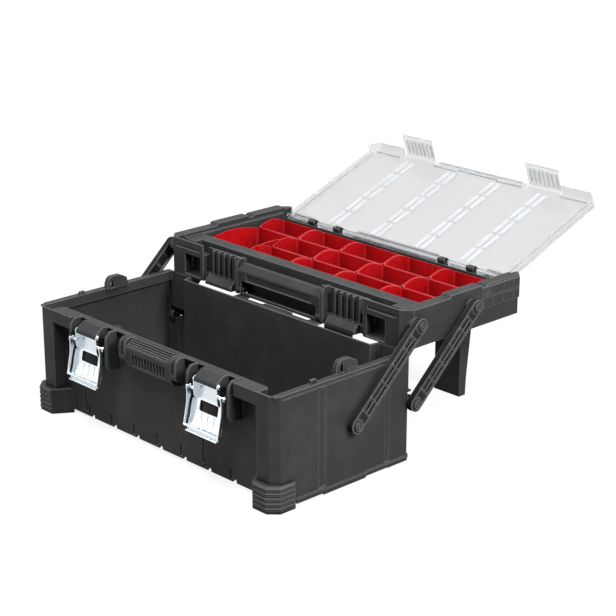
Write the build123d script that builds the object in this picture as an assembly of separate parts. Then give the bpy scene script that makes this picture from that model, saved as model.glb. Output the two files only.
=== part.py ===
from build123d import *
import math
import os

# Cantilever tool box, millimetres. X is the width, -Y the front, Z up.
# The origin is the centre of the base bin's footprint, on the floor.
# It is modelled open: the arms lean back and the tray's legs stand on the floor.

# Base bin
WALL = 3.0
BASE_HALF_X = 272.5
BASE_FRONT_Y = -132.0
BASE_PANEL_Y = -111.0
BASE_REAR_Y = 141.0
BASE_NICHE_Y = 115.0
BASE_SKIRT_Z = 5.5
BASE_FLOOR_Z = 11.0
BASE_TOP_Z = 171.0
POST_INNER_X = 234.0
REAR_POST_INNER_X = 214.0
POCKET_INNER_X = 187.0
LINTEL_Z = 151.0
CORNER_CHAMFER = 12.0
SCALLOP_PITCH = 55.3
POST_CUT_Y = 131.0
POST_CUT_Z = 112.0
RIM_INNER_X = 261.0
RIM_SKIRT_Z = 155.0
STACK_RING_X = 215.0
STACK_RING_Y = 85.0
STACK_RING_WIDTH = 12.0

# Front feet
FOOT_REACH = 5.5
FOOT_LENGTH = 43.0
FOOT_HEIGHT = 41.0
FOOT_RIDGES = 5

# Latches
LATCH_X = 138.0
LATCH_PIVOT_Y = -136.0
LATCH_PIVOT_Z = 157.0
HOOK_PIVOT_Z = 142.0
LATCH_PIN_R = 2.0
BRACKET_HALF_X = 23.8
FLANGE_INNER_X = 24.4
FLANGE_OUTER_X = 25.7
LEVER_WIDE_X = 33.0
STEEL = 1.3
HOOK_ARM_INNER_X = 35.6
HOOK_ARM_OUTER_X = 37.6
HOOK_REACH_Y = -13.0
HOOK_REACH_Z = -53.5
HOOK_BAR_R = 2.1
GUARD_INNER_X = 41.5
GUARD_OUTER_X = 46.0

# Arms: four equal links between two parallelograms of pivots
ARM_INNER_X = 273.5
ARM_OUTER_X = 284.0
ARM_R = 11.5
ARM_PIVOT_R = 4.0
RUNNING_GAP = 0.06
OPEN_GAP = 0.3
FRONT_PIVOT_Y = 16.8
REAR_PIVOT_Y = 137.0
LOWER_PIVOT_Z = 91.3
ARM_LEAN_Y = 128.5
ARM_RISE_Z = 118.0
ARM_RIB_SHARES = (0.126, 0.25, 0.417, 0.583, 0.75, 0.874)
PIN_HEAD_R = 7.6
PIN_HEAD = 2.3

# Tray
TRAY_HALF_X = 270.0
TRAY_FRONT_Y = 128.0
TRAY_REAR_Y = 389.0
TRAY_BOTTOM_Z = 171.5
TRAY_DECK_Z = 226.0
TRAY_LIP_Z = 231.0
TRAY_CHAMFER = 15.0
TROUGH_FRONT_Y = 144.0
TROUGH_REAR_Y = 161.0
TROUGH_FLOOR_Z = 203.0
TROUGH_HALF_X = 222.0
WELL_HALF_X = 246.0
WELL_FRONT_Y = 184.0
WELL_REAR_Y = 366.5
SIDE_LEDGE_X = 251.0
PAD_TOP_Z = 218.8

# Bins
BIN_COLUMNS = 5
BIN_PITCH_X = 98.0
BIN_PITCH_Y = 60.2
BIN_GAP = 0.8
BIN_WALL = 1.5
BIN_DRAFT = 3.0
BIN_BASE_Z = 174.9
BIN_CORNER_Z = 214.0
BIN_CREST = 8.0

# Lid, drawn closed and then swung back about its rod
LID_HALF_X = 249.5
LID_FRONT_Y = 133.5
LID_TOP_Z = 231.3
LID_PLATE = 2.4
LID_ROD_Y = 370.4
LID_ROD_Z = 223.0
LID_ROD_R = 3.2
LID_OPEN_DEG = 159.0
SPLIT_Z = 198.0
BLOCK_FRONT_Y = 291.0
BLOCK_PITCH_Y = 23.0
BLOCK_SPLIT_Z = 215.5
BLOCK_OUT = 1.7
CLIP_XS = (-178.0, -118.0, 118.0, 178.0)
CLIP_WIDTH = 16.0
CLIP_R = 5.1
TAB_HALF_X = 33.0
TAB_END_Z = 187.0

# Support legs
LEG_INNER_X = 101.6
LEG_OUTER_X = 156.0
LEG_FRONT_Y = 375.0

# Carry handle
HANDLE_HALF_X = 93.0
HANDLE_PIVOT_Y = 131.0
HANDLE_PIVOT_Z = 180.0
HANDLE_BAR_Z = 194.0
HANDLE_TOP_Z = 221.5


def block(x0, x1, y0, y1, z0, z1):
    """A box between two opposite corners, its x limits in either order."""
    middle = Pos((x0 + x1) / 2, (y0 + y1) / 2, (z0 + z1) / 2)
    return middle * Box(abs(x1 - x0), y1 - y0, z1 - z0)


def upright(points, z0, z1):
    """A plan outline raised from z0 to z1."""
    face = Face(Wire.make_polygon([(x, y, z0) for x, y in points]))
    return Solid.extrude(face, Vector(0, 0, z1 - z0))


def slice_x(points, x0, x1):
    """A side profile of (y, z) points, run from x0 to x1."""
    face = Face(Wire.make_polygon([(x0, y, z) for y, z in points]))
    return Solid.extrude(face, Vector(x1 - x0, 0, 0))


def slice_y(points, y0, y1):
    """A front profile of (x, z) points, run from y0 to y1."""
    face = Face(Wire.make_polygon([(x, y0, z) for x, z in points]))
    return Solid.extrude(face, Vector(0, y1 - y0, 0))


def rod_x(y, z, radius, x0, x1):
    """A cylinder along X."""
    face = Plane(origin=(x0, y, z), z_dir=(1, 0, 0)) * Circle(radius)
    return Solid.extrude(face.faces()[0], Vector(x1 - x0, 0, 0))


def mirrored(shape):
    """The same shape on the other side of the box."""
    return mirror(shape, about=Plane.YZ)


def symmetric(points):
    """A closed plan outline from its right half, listed front to back."""
    return points + [(-x, y) for x, y in reversed(points)]


def save(shape, node):
    """Write one named piece."""
    export_step(shape, f"parts/{node}.step")


def base_outline(inset):
    """The bin's plan: corner posts, a set-back front panel and a niche behind for the legs."""
    edge = BASE_HALF_X - inset
    post = POST_INNER_X + inset
    flank = POST_INNER_X - 5.0 + inset
    rear_post = REAR_POST_INNER_X + inset
    corner = CORNER_CHAMFER - 0.4 * inset
    return symmetric([
        (flank, BASE_PANEL_Y + inset),
        (post, BASE_FRONT_Y + inset),
        (edge - corner, BASE_FRONT_Y + inset),
        (edge, BASE_FRONT_Y + inset + corner),
        (edge, BASE_REAR_Y - inset - corner),
        (edge - corner, BASE_REAR_Y - inset),
        (rear_post, BASE_REAR_Y - inset),
        (rear_post - 5.0, BASE_NICHE_Y - inset),
    ])


def lintel(side):
    """The rim's overhang from the corner post to the latch guard, open below."""
    x0, x1 = side * POCKET_INNER_X, side * (POST_INNER_X + WALL)
    shelf = block(x0, x1, BASE_FRONT_Y, BASE_PANEL_Y, BASE_TOP_Z - WALL, BASE_TOP_Z)
    lip = block(x0, x1, BASE_FRONT_Y, BASE_FRONT_Y + WALL, LINTEL_Z, BASE_TOP_Z)
    cheek = block(x0, x0 + side * WALL, BASE_FRONT_Y, BASE_PANEL_Y, LINTEL_Z, BASE_TOP_Z)
    return shelf + lip + cheek


def latch_mount(side):
    """The bracket that holds a lever's pin, and the guard rib on each side of the latch."""
    x = LATCH_X * side
    y, z = LATCH_PIVOT_Y, LATCH_PIVOT_Z
    profile = [(BASE_PANEL_Y, BASE_TOP_Z), (-126.0, BASE_TOP_Z), (-139.2, 162.0),
               (y - 4.4, z + 1.5), (y - 1.5, z - 4.4), (y + 3.0, 154.5), (BASE_PANEL_Y, 154.5)]
    bracket = slice_x(profile, x - BRACKET_HALF_X, x + BRACKET_HALF_X)
    bracket -= rod_x(y, z, LATCH_PIN_R + RUNNING_GAP, x - 30.0, x + 30.0)
    rib = [(BASE_PANEL_Y, BASE_TOP_Z), (-129.0, BASE_TOP_Z), (-136.0, 164.0), (-137.5, 158.0),
           (-137.5, 120.0), (-135.0, 113.0), (-130.0, 109.0), (BASE_PANEL_Y, 109.0)]
    guards = [slice_x(rib, x + s * GUARD_INNER_X, x + s * GUARD_OUTER_X) for s in (1, -1)]
    rim = block(x - GUARD_INNER_X, x + GUARD_INNER_X, -117.0, BASE_PANEL_Y,
                BASE_TOP_Z - WALL, BASE_TOP_Z)
    return bracket + guards + rim


def console():
    """The sloped ribbed block between the latches, with an upright bracket at each end."""
    y, z = BASE_PANEL_Y, BASE_TOP_Z
    profile = [(y, z), (-116.0, z - 1.0), (-123.5, 165.0), (-131.0, 160.0), (-132.5, 157.5),
               (-132.5, 152.0), (-130.5, 131.0), (-125.0, 125.0), (y, 120.0)]
    body = slice_x(profile, -51.0, 51.0)
    for n in range(4):
        groove_y = -124.6 - 1.75 * n
        groove_z = 165.0 + (groove_y + 123.5) * 5.0 / 7.5
        body -= rod_x(groove_y, groove_z, 0.45, -48.0, 48.0)
    for n in range(11):
        x = -35.0 + 7.0 * n
        body -= block(x - 2.0, x + 2.0, -134.0, -129.0, 133.0, 152.0)
    bracket = [(y, z), (-127.0, z), (-132.5, 166.5), (-134.5, 160.0), (-134.5, 141.0),
               (-131.0, 136.0), (y, 132.0)]
    for side in (1, -1):
        body += slice_x(bracket, side * 51.0, side * 66.0)
        body -= block(side * 56.5, side * 60.0, -136.0, -128.5, 145.0, z + 1)
        body += block(side * 66.0, side * 92.5, -117.0, y, z - WALL, z)
    return body


def front_panel_cuts():
    """Notches and slots along the panel's lower edge, and its two long grooves."""
    cuts = []
    for n in range(-3, 4):
        x = n * SCALLOP_PITCH
        notch = [(x - 6.5, BASE_SKIRT_Z - 1), (x - 3.0, 10.2), (x + 1.5, 10.2),
                 (x + 2.5, BASE_SKIRT_Z - 1)]
        cuts.append(slice_y(notch, BASE_PANEL_Y - 2, BASE_PANEL_Y + WALL + 0.5))
        cuts.append(block(x - 13.0, x - 7.5, BASE_PANEL_Y - 1, BASE_PANEL_Y + 2.2, 8.5, 26.0))
    for x, wide, z1 in ((-183.5, 3.7, 150.0), (96.5, 3.0, 108.0)):
        cuts.append(block(x - wide, x + wide, BASE_PANEL_Y - 1, BASE_PANEL_Y + 2.0, 13.0, z1))
    return cuts


def side_cuts(side):
    """Two wide upright channels in an end wall and a thin line under its rim."""
    x0, x1 = side * (BASE_HALF_X - 1.9), side * (BASE_HALF_X + 1.0)
    channels = ((-49.0, -36.0, 160.0), (83.2, 91.2, 160.0))
    cuts = [block(x0, x1, y0, y1, 13.0, z1) for y0, y1, z1 in channels]
    cuts.append(block(side * (BASE_HALF_X - 1.0), x1, -116.0, 125.0, 164.6, 166.0))
    return cuts


def side_skirt(side):
    """The stepped ledge along an end wall's foot."""
    wall, out = side * BASE_HALF_X, side * (BASE_HALF_X + 2.2)
    parts = []
    for y0, y1, low, high in ((-93.0, -42.0, 4.0, 12.0), (-42.0, 43.0, 1.6, 10.0),
                              (43.0, 87.0, 4.0, 11.5), (87.0, 128.5, 3.0, 11.0)):
        parts.append(slice_y([(wall, low), (out, low), (out, high - 1.5), (wall, high)], y0, y1))
    parts.append(slice_y([(wall, 6.0), (out + side * 1.0, 8.0), (out + side * 1.0, 13.0), (wall, 16.0)],
                         126.5, 129.0))
    return parts


def side_rim(side):
    """The hollow rolled rim inside an end wall's top."""
    wall = side * (BASE_HALF_X - WALL)
    return [block(side * RIM_INNER_X, wall, -128.5, POST_CUT_Y - 1.0, BASE_TOP_Z - WALL, BASE_TOP_Z),
            block(side * RIM_INNER_X, side * (RIM_INNER_X + 2.5), -128.5, POST_CUT_Y - 1.0,
                  RIM_SKIRT_Z, BASE_TOP_Z)]


def pivot_bosses(side):
    """The wall's inner bosses and the rear ear, each bored for an arm's lower pin."""
    inner, wall = side * 262.0, side * (BASE_HALF_X - WALL)
    solid = rod_x(FRONT_PIVOT_Y, LOWER_PIVOT_Z, 9.0, inner, wall)
    solid += rod_x(REAR_PIVOT_Y - 2, LOWER_PIVOT_Z, 9.0, inner, wall)
    return solid + rod_x(REAR_PIVOT_Y, LOWER_PIVOT_Z, 10.5, side * 264.0, side * BASE_HALF_X)


def rim_keys(side):
    """A locating block with a hooked front end on an end wall's rim."""
    key = [(-8.5, 168.5), (-7.5, 180.0), (-4.0, 187.0), (1.0, 190.0), (18.0, 190.0), (31.0, 183.5),
           (35.5, 168.5)]
    solid = slice_x(key, side * 256.0, side * 264.9)
    slot = [(-2.0, 171.5), (-1.0, 180.0), (2.5, 184.5), (5.5, 181.0), (5.5, 171.5)]
    solid -= slice_x(slot, side * 255.0, side * 266.0)
    for y in (14.0, 21.0, 28.0):
        solid -= block(side * 263.5, side * 266.0, y, y + 3.5, 174.0, 190.0 - 0.4 * (y - 12.0) - 3.0)
    return solid


def base_bin():
    """The lower bin."""
    body = upright(base_outline(0.0), BASE_SKIRT_Z, BASE_TOP_Z)
    body -= upright(base_outline(WALL), BASE_FLOOR_Z + WALL, BASE_TOP_Z + 1)
    body -= upright(base_outline(WALL), BASE_SKIRT_Z - 1, BASE_FLOOR_Z)
    for side in (1, -1):
        body -= block(side * 200.0, side * 290.0, POST_CUT_Y, BASE_REAR_Y + 20, POST_CUT_Z,
                      BASE_TOP_Z + 1)
        x0, x1 = side * REAR_POST_INNER_X, side * BASE_HALF_X
        body += block(x0, x1, POST_CUT_Y - WALL, POST_CUT_Y, POST_CUT_Z - WALL, BASE_TOP_Z)
        body += block(x0, x1, POST_CUT_Y - WALL, BASE_REAR_Y - 4.0, POST_CUT_Z - WALL, POST_CUT_Z)
    body -= front_panel_cuts()
    body += console()
    for side in (1, -1):
        body -= side_cuts(side)
        body += lintel(side)
        body += latch_mount(side)
        body += pivot_bosses(side)
        body += side_rim(side)
        body += rim_keys(side)
        body += side_skirt(side)
        for y in (FRONT_PIVOT_Y, REAR_PIVOT_Y):
            body -= rod_x(y, LOWER_PIVOT_Z, ARM_PIVOT_R + 0.02, side * 250.0, side * 280.0)
    ring = block(-STACK_RING_X, STACK_RING_X, -STACK_RING_Y, STACK_RING_Y, 0, BASE_FLOOR_Z)
    ring -= block(-STACK_RING_X + STACK_RING_WIDTH, STACK_RING_X - STACK_RING_WIDTH,
                  -STACK_RING_Y + STACK_RING_WIDTH, STACK_RING_Y - STACK_RING_WIDTH,
                  -1, BASE_FLOOR_Z + 1)
    half = STACK_RING_WIDTH / 2
    ring += block(-STACK_RING_X + 1, STACK_RING_X - 1, -half, half, 0, BASE_FLOOR_Z)
    ring += block(-half, half, -STACK_RING_Y + 1, STACK_RING_Y - 1, 0, BASE_FLOOR_Z)
    body += ring
    for side in (1, -1):
        body += block(side * 229.0, side * 257.0, 108.0, 130.0, 0, BASE_FLOOR_Z)
    return body


def foot(side):
    """A ribbed cap over a front corner's lower end."""
    outer = BASE_HALF_X + FOOT_REACH
    front = BASE_FRONT_Y - 9.0
    inner = outer - FOOT_LENGTH
    points = [(inner, front), (outer - 14.0, front), (outer, front + 14.0),
              (outer, front + FOOT_LENGTH), (BASE_HALF_X + 0.3, front + FOOT_LENGTH),
              (BASE_HALF_X + 0.3, BASE_FRONT_Y + CORNER_CHAMFER),
              (BASE_HALF_X - CORNER_CHAMFER, BASE_FRONT_Y - 0.3),
              (POST_INNER_X - 0.6, BASE_FRONT_Y - 0.3), (POST_INNER_X - 5.6, BASE_PANEL_Y - 0.3),
              (inner - 20.0, BASE_PANEL_Y - 0.3), (inner - 18.0, BASE_PANEL_Y - 3.0)]
    cap = upright([(side * x, y) for x, y in points], 0, FOOT_HEIGHT)
    sole = [(inner, front), (outer - 14.0, front), (outer, front + 14.0),
            (outer, front + FOOT_LENGTH), (inner - 4.0, front + FOOT_LENGTH)]
    cap += upright([(side * x, y) for x, y in sole], 0, BASE_SKIRT_Z - 0.3)
    ridge = [(inner + 3.0, front - 1.2), (outer - 14.0, front - 1.2), (outer + 1.2, front + 14.0),
             (outer + 1.2, front + FOOT_LENGTH - 3.0), (outer - 2.0, front + FOOT_LENGTH - 3.0),
             (outer - 2.0, front + 15.0), (outer - 15.0, front + 2.0), (inner + 3.0, front + 2.0)]
    for n in range(FOOT_RIDGES):
        z = 5.0 + 7.4 * n
        cap += upright([(side * x, y) for x, y in ridge], z, z + 4.2)
    return cap


def latch_lever(side):
    """A pressed lever: a plate with a window and ribs, side flanges and a flared lip."""
    x = LATCH_X * side
    line = [(-129.8, 151.0), (-131.6, 130.0), (-138.0, 100.0), (-144.4, 85.0), (-149.4, 79.8)]
    back = [(y + STEEL, z + 0.25) for y, z in line]
    plate = slice_x(line + back[::-1], x - LEVER_WIDE_X, x + LEVER_WIDE_X)
    for s in (1, -1):
        narrow = [(x + s * FLANGE_OUTER_X, 160.0), (x + s * 40.0, 160.0), (x + s * 40.0, 128.0),
                  (x + s * LEVER_WIDE_X, 124.0), (x + s * FLANGE_OUTER_X, 132.0)]
        plate -= slice_y(narrow, -160.0, -120.0)
        flange = [(-128.6, 151.0), (-130.5, 153.5), (-132.0, 160.5), (-136.0, 162.2),
                  (-140.0, 160.0), (-140.6, 150.0), (-140.6, 138.0), (-138.5, 128.0),
                  (-131.6, 127.5), (-130.6, 130.0)]
        x0, x1 = x + s * FLANGE_INNER_X, x + s * FLANGE_OUTER_X
        plate += slice_x(flange, x0, x1)
        edge = [(-131.4, 126.0), (-137.6, 100.0), (-142.6, 88.0), (-144.6, 89.4), (-141.5, 101.0),
                (-135.2, 126.0)]
        x0, x1 = x + s * (LEVER_WIDE_X - STEEL), x + s * LEVER_WIDE_X
        plate += slice_x(edge, x0, x1)
    window = Plane(origin=(x, -120, 118.0), x_dir=(1, 0, 0), z_dir=(0, -1, 0))
    window *= RectangleRounded(39.5, 15.5, 2.5)
    plate -= Solid.extrude(window.faces()[0], Vector(0, -40, 0))
    for n in (-1, 0, 1):
        rib = [(-135.6, 108.0), (-137.6, 99.0), (-141.9, 88.5), (-143.3, 89.2), (-139.4, 100.0),
               (-137.2, 107.6)]
        plate += slice_x(rib, x + 13.0 * n - 1.6, x + 13.0 * n + 1.6)
    for z in (LATCH_PIVOT_Z, HOOK_PIVOT_Z):
        plate -= rod_x(LATCH_PIVOT_Y, z, LATCH_PIN_R + RUNNING_GAP, x - 45.0, x + 45.0)
    return plate


def lever_pin(side):
    """The headed pin that a lever turns on."""
    x = LATCH_X * side
    pin = rod_x(LATCH_PIVOT_Y, LATCH_PIVOT_Z, LATCH_PIN_R, x - 27.5, x + 27.5)
    for s in (1, -1):
        x0, x1 = x + s * 26.1, x + s * 27.9
        pin += rod_x(LATCH_PIVOT_Y, LATCH_PIVOT_Z, 3.3, x0, x1)
    return pin


def hook_pins(side):
    """The two short rivets that join a hook's arms to the lever."""
    x = LATCH_X * side
    pins = []
    for s in (1, -1):
        shank = rod_x(LATCH_PIVOT_Y, HOOK_PIVOT_Z, LATCH_PIN_R, x + s * 22.6, x + s * 39.2)
        collar = rod_x(LATCH_PIVOT_Y, HOOK_PIVOT_Z, 3.2, x + s * 26.1, x + s * 35.3)
        head = rod_x(LATCH_PIVOT_Y, HOOK_PIVOT_Z, 3.4, x + s * 37.9, x + s * 39.4)
        pins.append(shank + collar + head)
    return Compound(pins)


def latch_hook(side):
    """The hanging hook: two arms joined by a round bar."""
    x = LATCH_X * side
    y, z = LATCH_PIVOT_Y, HOOK_PIVOT_Z
    tip_y, tip_z = y + HOOK_REACH_Y, z + HOOK_REACH_Z
    solid = rod_x(tip_y, tip_z, HOOK_BAR_R, x - HOOK_ARM_OUTER_X, x + HOOK_ARM_OUTER_X)
    for s in (1, -1):
        x0, x1 = x + s * HOOK_ARM_INNER_X, x + s * HOOK_ARM_OUTER_X
        arm = [(y - 4.6, z + 3.0), (y + 4.2, z + 3.4), (y + 3.6, z - 5.0),
               (y - 3.0, z - 22.0), (tip_y + 2.4, tip_z - 0.6), (tip_y - 2.0, tip_z - 0.5),
               (y - 8.4, z - 22.0)]
        solid += slice_x(arm, x0, x1)
        solid += rod_x(y, z, 4.9, x0, x1)
    return solid - rod_x(y, z, LATCH_PIN_R + RUNNING_GAP, x - 45.0, x + 45.0)


def arm(side, pivot_y, gap):
    """One link: rounded ends, a ladder of slots outside and a ribbed hollow inside."""
    length = math.hypot(ARM_LEAN_Y, ARM_RISE_Z)
    lean = math.degrees(math.atan2(ARM_RISE_Z, ARM_LEAN_Y))
    plane = Plane(origin=(ARM_INNER_X, pivot_y, LOWER_PIVOT_Z), x_dir=(0, 1, 0), z_dir=(1, 0, 0))
    thick = ARM_OUTER_X - ARM_INNER_X
    link = Pos(length / 2, 0) * SlotCenterToCenter(length, 2 * ARM_R)
    body = extrude(link, thick)
    body = chamfer(body.edges().group_by(Axis.Z)[-1], 1.2)
    ribs = [share * length for share in ARM_RIB_SHARES]
    for x0, x1 in zip(ribs, ribs[1:]):
        middle, cell = (x0 + x1) / 2, x1 - x0
        for row in (-1, 1):
            body -= Pos(middle, row * 4.2, thick) * Box(cell - 3.2, 4.0, 5.0)
        body -= Pos(middle, 0, 0) * Box(cell - 2.0, 2 * ARM_R - 5.0, 8.0)
    for x in (0.0, length):
        ring = Pos(x, 0, thick) * (Cylinder(9.6, 1.6) - Cylinder(8.2, 3.0))
        body -= ring
    body -= Cylinder(ARM_PIVOT_R + RUNNING_GAP, 60)
    body -= Pos(length, 0, 0) * Cylinder(ARM_PIVOT_R + gap, 60)
    placed = plane * (Rot(0, 0, lean) * body)
    return placed if side > 0 else mirrored(placed)


def arm_pin(side, y, z, x_inner):
    """A flanged pivot pin pushed in from outside."""
    x_head = ARM_OUTER_X + 0.2
    pin = rod_x(y, z, ARM_PIVOT_R, x_inner, x_head)
    cap = rod_x(y, z, PIN_HEAD_R, x_head, x_head + PIN_HEAD)
    pin += chamfer(cap.edges().group_by(Axis.X)[-1], 0.8)
    return pin if side > 0 else mirrored(pin)


def tray_outline(inset):
    """The tray's plan with cut corners."""
    edge = TRAY_HALF_X - inset
    corner = TRAY_CHAMFER - 0.4 * inset
    return symmetric([
        (edge - corner, TRAY_FRONT_Y + inset),
        (edge, TRAY_FRONT_Y + inset + corner),
        (edge, TRAY_REAR_Y - inset - corner),
        (edge - corner, TRAY_REAR_Y - inset),
    ])


def tray_front_cuts():
    """The handle's bay, the latch receptacles, the dark pockets and the lid's front groove."""
    cuts = [block(-HANDLE_HALF_X - 0.8, HANDLE_HALF_X + 0.8, TRAY_FRONT_Y - 9, 141.5,
                  TRAY_BOTTOM_Z - 1, 240.0),
            block(-SIDE_LEDGE_X, SIDE_LEDGE_X, TRAY_FRONT_Y + 3, 146.0, TRAY_DECK_Z, 240.0)]
    for side in (1, -1):
        for a, b, y1, z0, z1 in ((99.0, 181.0, 141.0, 185.5, 240.0),
                                 (99.0, 181.0, 135.0, TRAY_BOTTOM_Z - 1, 186.0),
                                 (188.0, 226.0, 146.0, TRAY_BOTTOM_Z + WALL, 209.0),
                                 (190.0, 248.0, TRAY_FRONT_Y + 1.2, 217.0, 222.0)):
            cuts.append(block(side * a, side * b, TRAY_FRONT_Y - 9, y1, z0, z1))
        cuts.append(block(side * 181.0, side * 252.0, TRAY_FRONT_Y + 3, 146.0, 214.0, 240.0))
        cuts.append(block(side * 243.0, side * 252.0, 140.0, 150.5, 214.0, 240.0))
    return cuts


def receptacle(side):
    """The upright ribs and the catch bar that a lid tab closes on."""
    parts = []
    for n in range(5):
        x = side * (113.0 + 13.0 * n)
        parts.append(block(x - 2.2, x + 2.2, 136.0, 142.0, 185.0, TRAY_DECK_Z - 1.0))
    bar = [(121.5, 172.0), (121.5, 177.0), (124.0, 180.5), (130.0, 185.8), (142.0, 185.8),
           (142.0, 171.5), (124.0, 171.5)]
    parts.append(slice_x(bar, side * 107.0, side * 169.0))
    return parts


def handle_ears(side):
    """The cheek beside the carry handle that carries its pin."""
    ear = [(142.0, TRAY_BOTTOM_Z), (126.5, TRAY_BOTTOM_Z), (124.0, 174.0), (124.0, 218.0),
           (127.0, 224.5), (132.0, 228.3), (142.0, 228.3)]
    return slice_x(ear, side * 93.8, side * 99.0)


def hinge_clip(x):
    """A sprung clip that holds the lid's rod, on a stem from the rear deck."""
    x0, x1 = x - CLIP_WIDTH / 2, x + CLIP_WIDTH / 2
    clip = rod_x(LID_ROD_Y, LID_ROD_Z, CLIP_R, x0, x1)
    clip += slice_x([(367.0, 211.0), (367.0, 221.0), (373.6, 221.0), (376.5, 211.0)], x0, x1)
    clip -= rod_x(LID_ROD_Y, LID_ROD_Z, LID_ROD_R + RUNNING_GAP, x0 - 1, x1 + 1)
    mouth = [(LID_ROD_Y - 2.6, LID_ROD_Z), (LID_ROD_Y - 3.2, LID_ROD_Z + 9),
             (LID_ROD_Y + 3.2, LID_ROD_Z + 9), (LID_ROD_Y + 2.6, LID_ROD_Z)]
    return clip - slice_x(mouth, x0 - 1, x1 + 1)


def side_blocks():
    """The proud upper band round the tray's rear corners, scored into large blocks."""
    band = upright(tray_outline(-BLOCK_OUT), SPLIT_Z, TRAY_LIP_Z)
    band -= upright(tray_outline(1.0), SPLIT_Z - 1, TRAY_LIP_Z + 1)
    band -= block(-300.0, 300.0, 100.0, BLOCK_FRONT_Y, SPLIT_Z - 1, TRAY_LIP_Z + 1)
    band -= block(-252.0, 252.0, 360.0, 400.0, SPLIT_Z - 1, TRAY_LIP_Z + 1)
    for side in (1, -1):
        x0, x1 = side * TRAY_HALF_X, side * (TRAY_HALF_X + 3.0)
        for n in range(1, 4):
            y = BLOCK_FRONT_Y + BLOCK_PITCH_Y * n
            band -= block(x0, x1, y - 0.8, y + 0.8, SPLIT_Z - 1, TRAY_LIP_Z + 1)
        band -= block(x0, x1, BLOCK_FRONT_Y - 1, 376.0, BLOCK_SPLIT_Z - 0.8, BLOCK_SPLIT_Z + 0.8)
        for n in range(3):
            y = BLOCK_FRONT_Y + 5.0 + 5.0 * n
            band -= block(side * (TRAY_HALF_X + 0.9), x1, y, y + 1.6, BLOCK_SPLIT_Z + 3.0, 228.0)
    return band


def tray():
    """The organiser tray: a well for the bins, a trough in front and a rear hinge deck."""
    body = upright(tray_outline(0.0), TRAY_BOTTOM_Z, TRAY_LIP_Z)
    body -= block(-SIDE_LEDGE_X, SIDE_LEDGE_X, TRAY_FRONT_Y + 16, 420.0, TRAY_DECK_Z, 240.0)
    body -= block(-WELL_HALF_X, WELL_HALF_X, WELL_FRONT_Y, WELL_REAR_Y,
                  TRAY_BOTTOM_Z + WALL, 240.0)
    body -= block(-SIDE_LEDGE_X, SIDE_LEDGE_X, WELL_REAR_Y - 1, 420.0, 217.0, 240.0)
    body -= block(-SIDE_LEDGE_X, SIDE_LEDGE_X, WELL_REAR_Y + 2.5, 420.0, 211.5, 240.0)
    body -= block(-TROUGH_HALF_X, TROUGH_HALF_X, TROUGH_FRONT_Y, TROUGH_REAR_Y,
                  TROUGH_FLOOR_Z, 240.0)
    body -= block(-HANDLE_HALF_X, HANDLE_HALF_X, 130.0, TROUGH_FRONT_Y + 1, 213.0, 240.0)
    body -= tray_front_cuts()
    hollow_front = block(-WELL_HALF_X, WELL_HALF_X, 149.0, WELL_FRONT_Y - WALL,
                         TRAY_BOTTOM_Z - 1, TROUGH_FLOOR_Z - WALL)
    hollow_rim = block(-WELL_HALF_X, WELL_HALF_X, TROUGH_REAR_Y + WALL, WELL_FRONT_Y - WALL,
                       TRAY_BOTTOM_Z, TRAY_DECK_Z - WALL)
    hollow_rear = block(-WELL_HALF_X, WELL_HALF_X, WELL_REAR_Y + 2.5, TRAY_REAR_Y - WALL,
                        TRAY_BOTTOM_Z - 1, 208.5)
    body -= [hollow_front, hollow_rim, hollow_rear]
    for side in (1, -1):
        x0, x1 = side * (WELL_HALF_X + WALL), side * (TRAY_HALF_X - WALL)
        body -= block(x0, x1, 150.0, 372.0, TRAY_BOTTOM_Z - 1, TRAY_DECK_Z - WALL)
        body += receptacle(side)
        body += handle_ears(side)
        x0, x1 = side * SIDE_LEDGE_X, side * TRAY_HALF_X
        body += slice_x([(219.0, TRAY_LIP_Z), (222.0, 235.0), (290.0, 235.0), (293.0, TRAY_LIP_Z)],
                        x0, x1)
        body += slice_x([(299.0, TRAY_LIP_Z), (302.0, 234.0), (372.0, 234.0), (375.0, TRAY_LIP_Z)],
                        x0, x1)
        x0, x1 = side * 194.0, side * 244.0
        body += block(x0, x1, 384.0, 394.0, 203.0, PAD_TOP_Z)
        for y in (FRONT_PIVOT_Y, REAR_PIVOT_Y):
            y, z = y + ARM_LEAN_Y, LOWER_PIVOT_Z + ARM_RISE_Z
            body += rod_x(y, z, 10.5, side * (TRAY_HALF_X - 1.0), side * (ARM_INNER_X - 0.3))
            body += rod_x(y, z, 9.0, side * 258.0, side * (TRAY_HALF_X - 1.0))
            body -= rod_x(y, z, ARM_PIVOT_R + 0.02, side * 255.0, side * 280.0)
    body += side_blocks()
    body += block(-91.0, 91.0, 384.0, 394.0, 203.0, PAD_TOP_Z)
    bay = [(126.0, 171.5), (142.0, 171.5), (142.0, 174.0), (128.2, 174.0), (128.2, 176.5),
           (126.0, 176.5)]
    body += slice_x(bay, -84.0, 84.0)
    for x in CLIP_XS:
        body += hinge_clip(x)
    body -= rod_x(HANDLE_PIVOT_Y, HANDLE_PIVOT_Z, 2.52, -100.0, 100.0)
    return body


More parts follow.
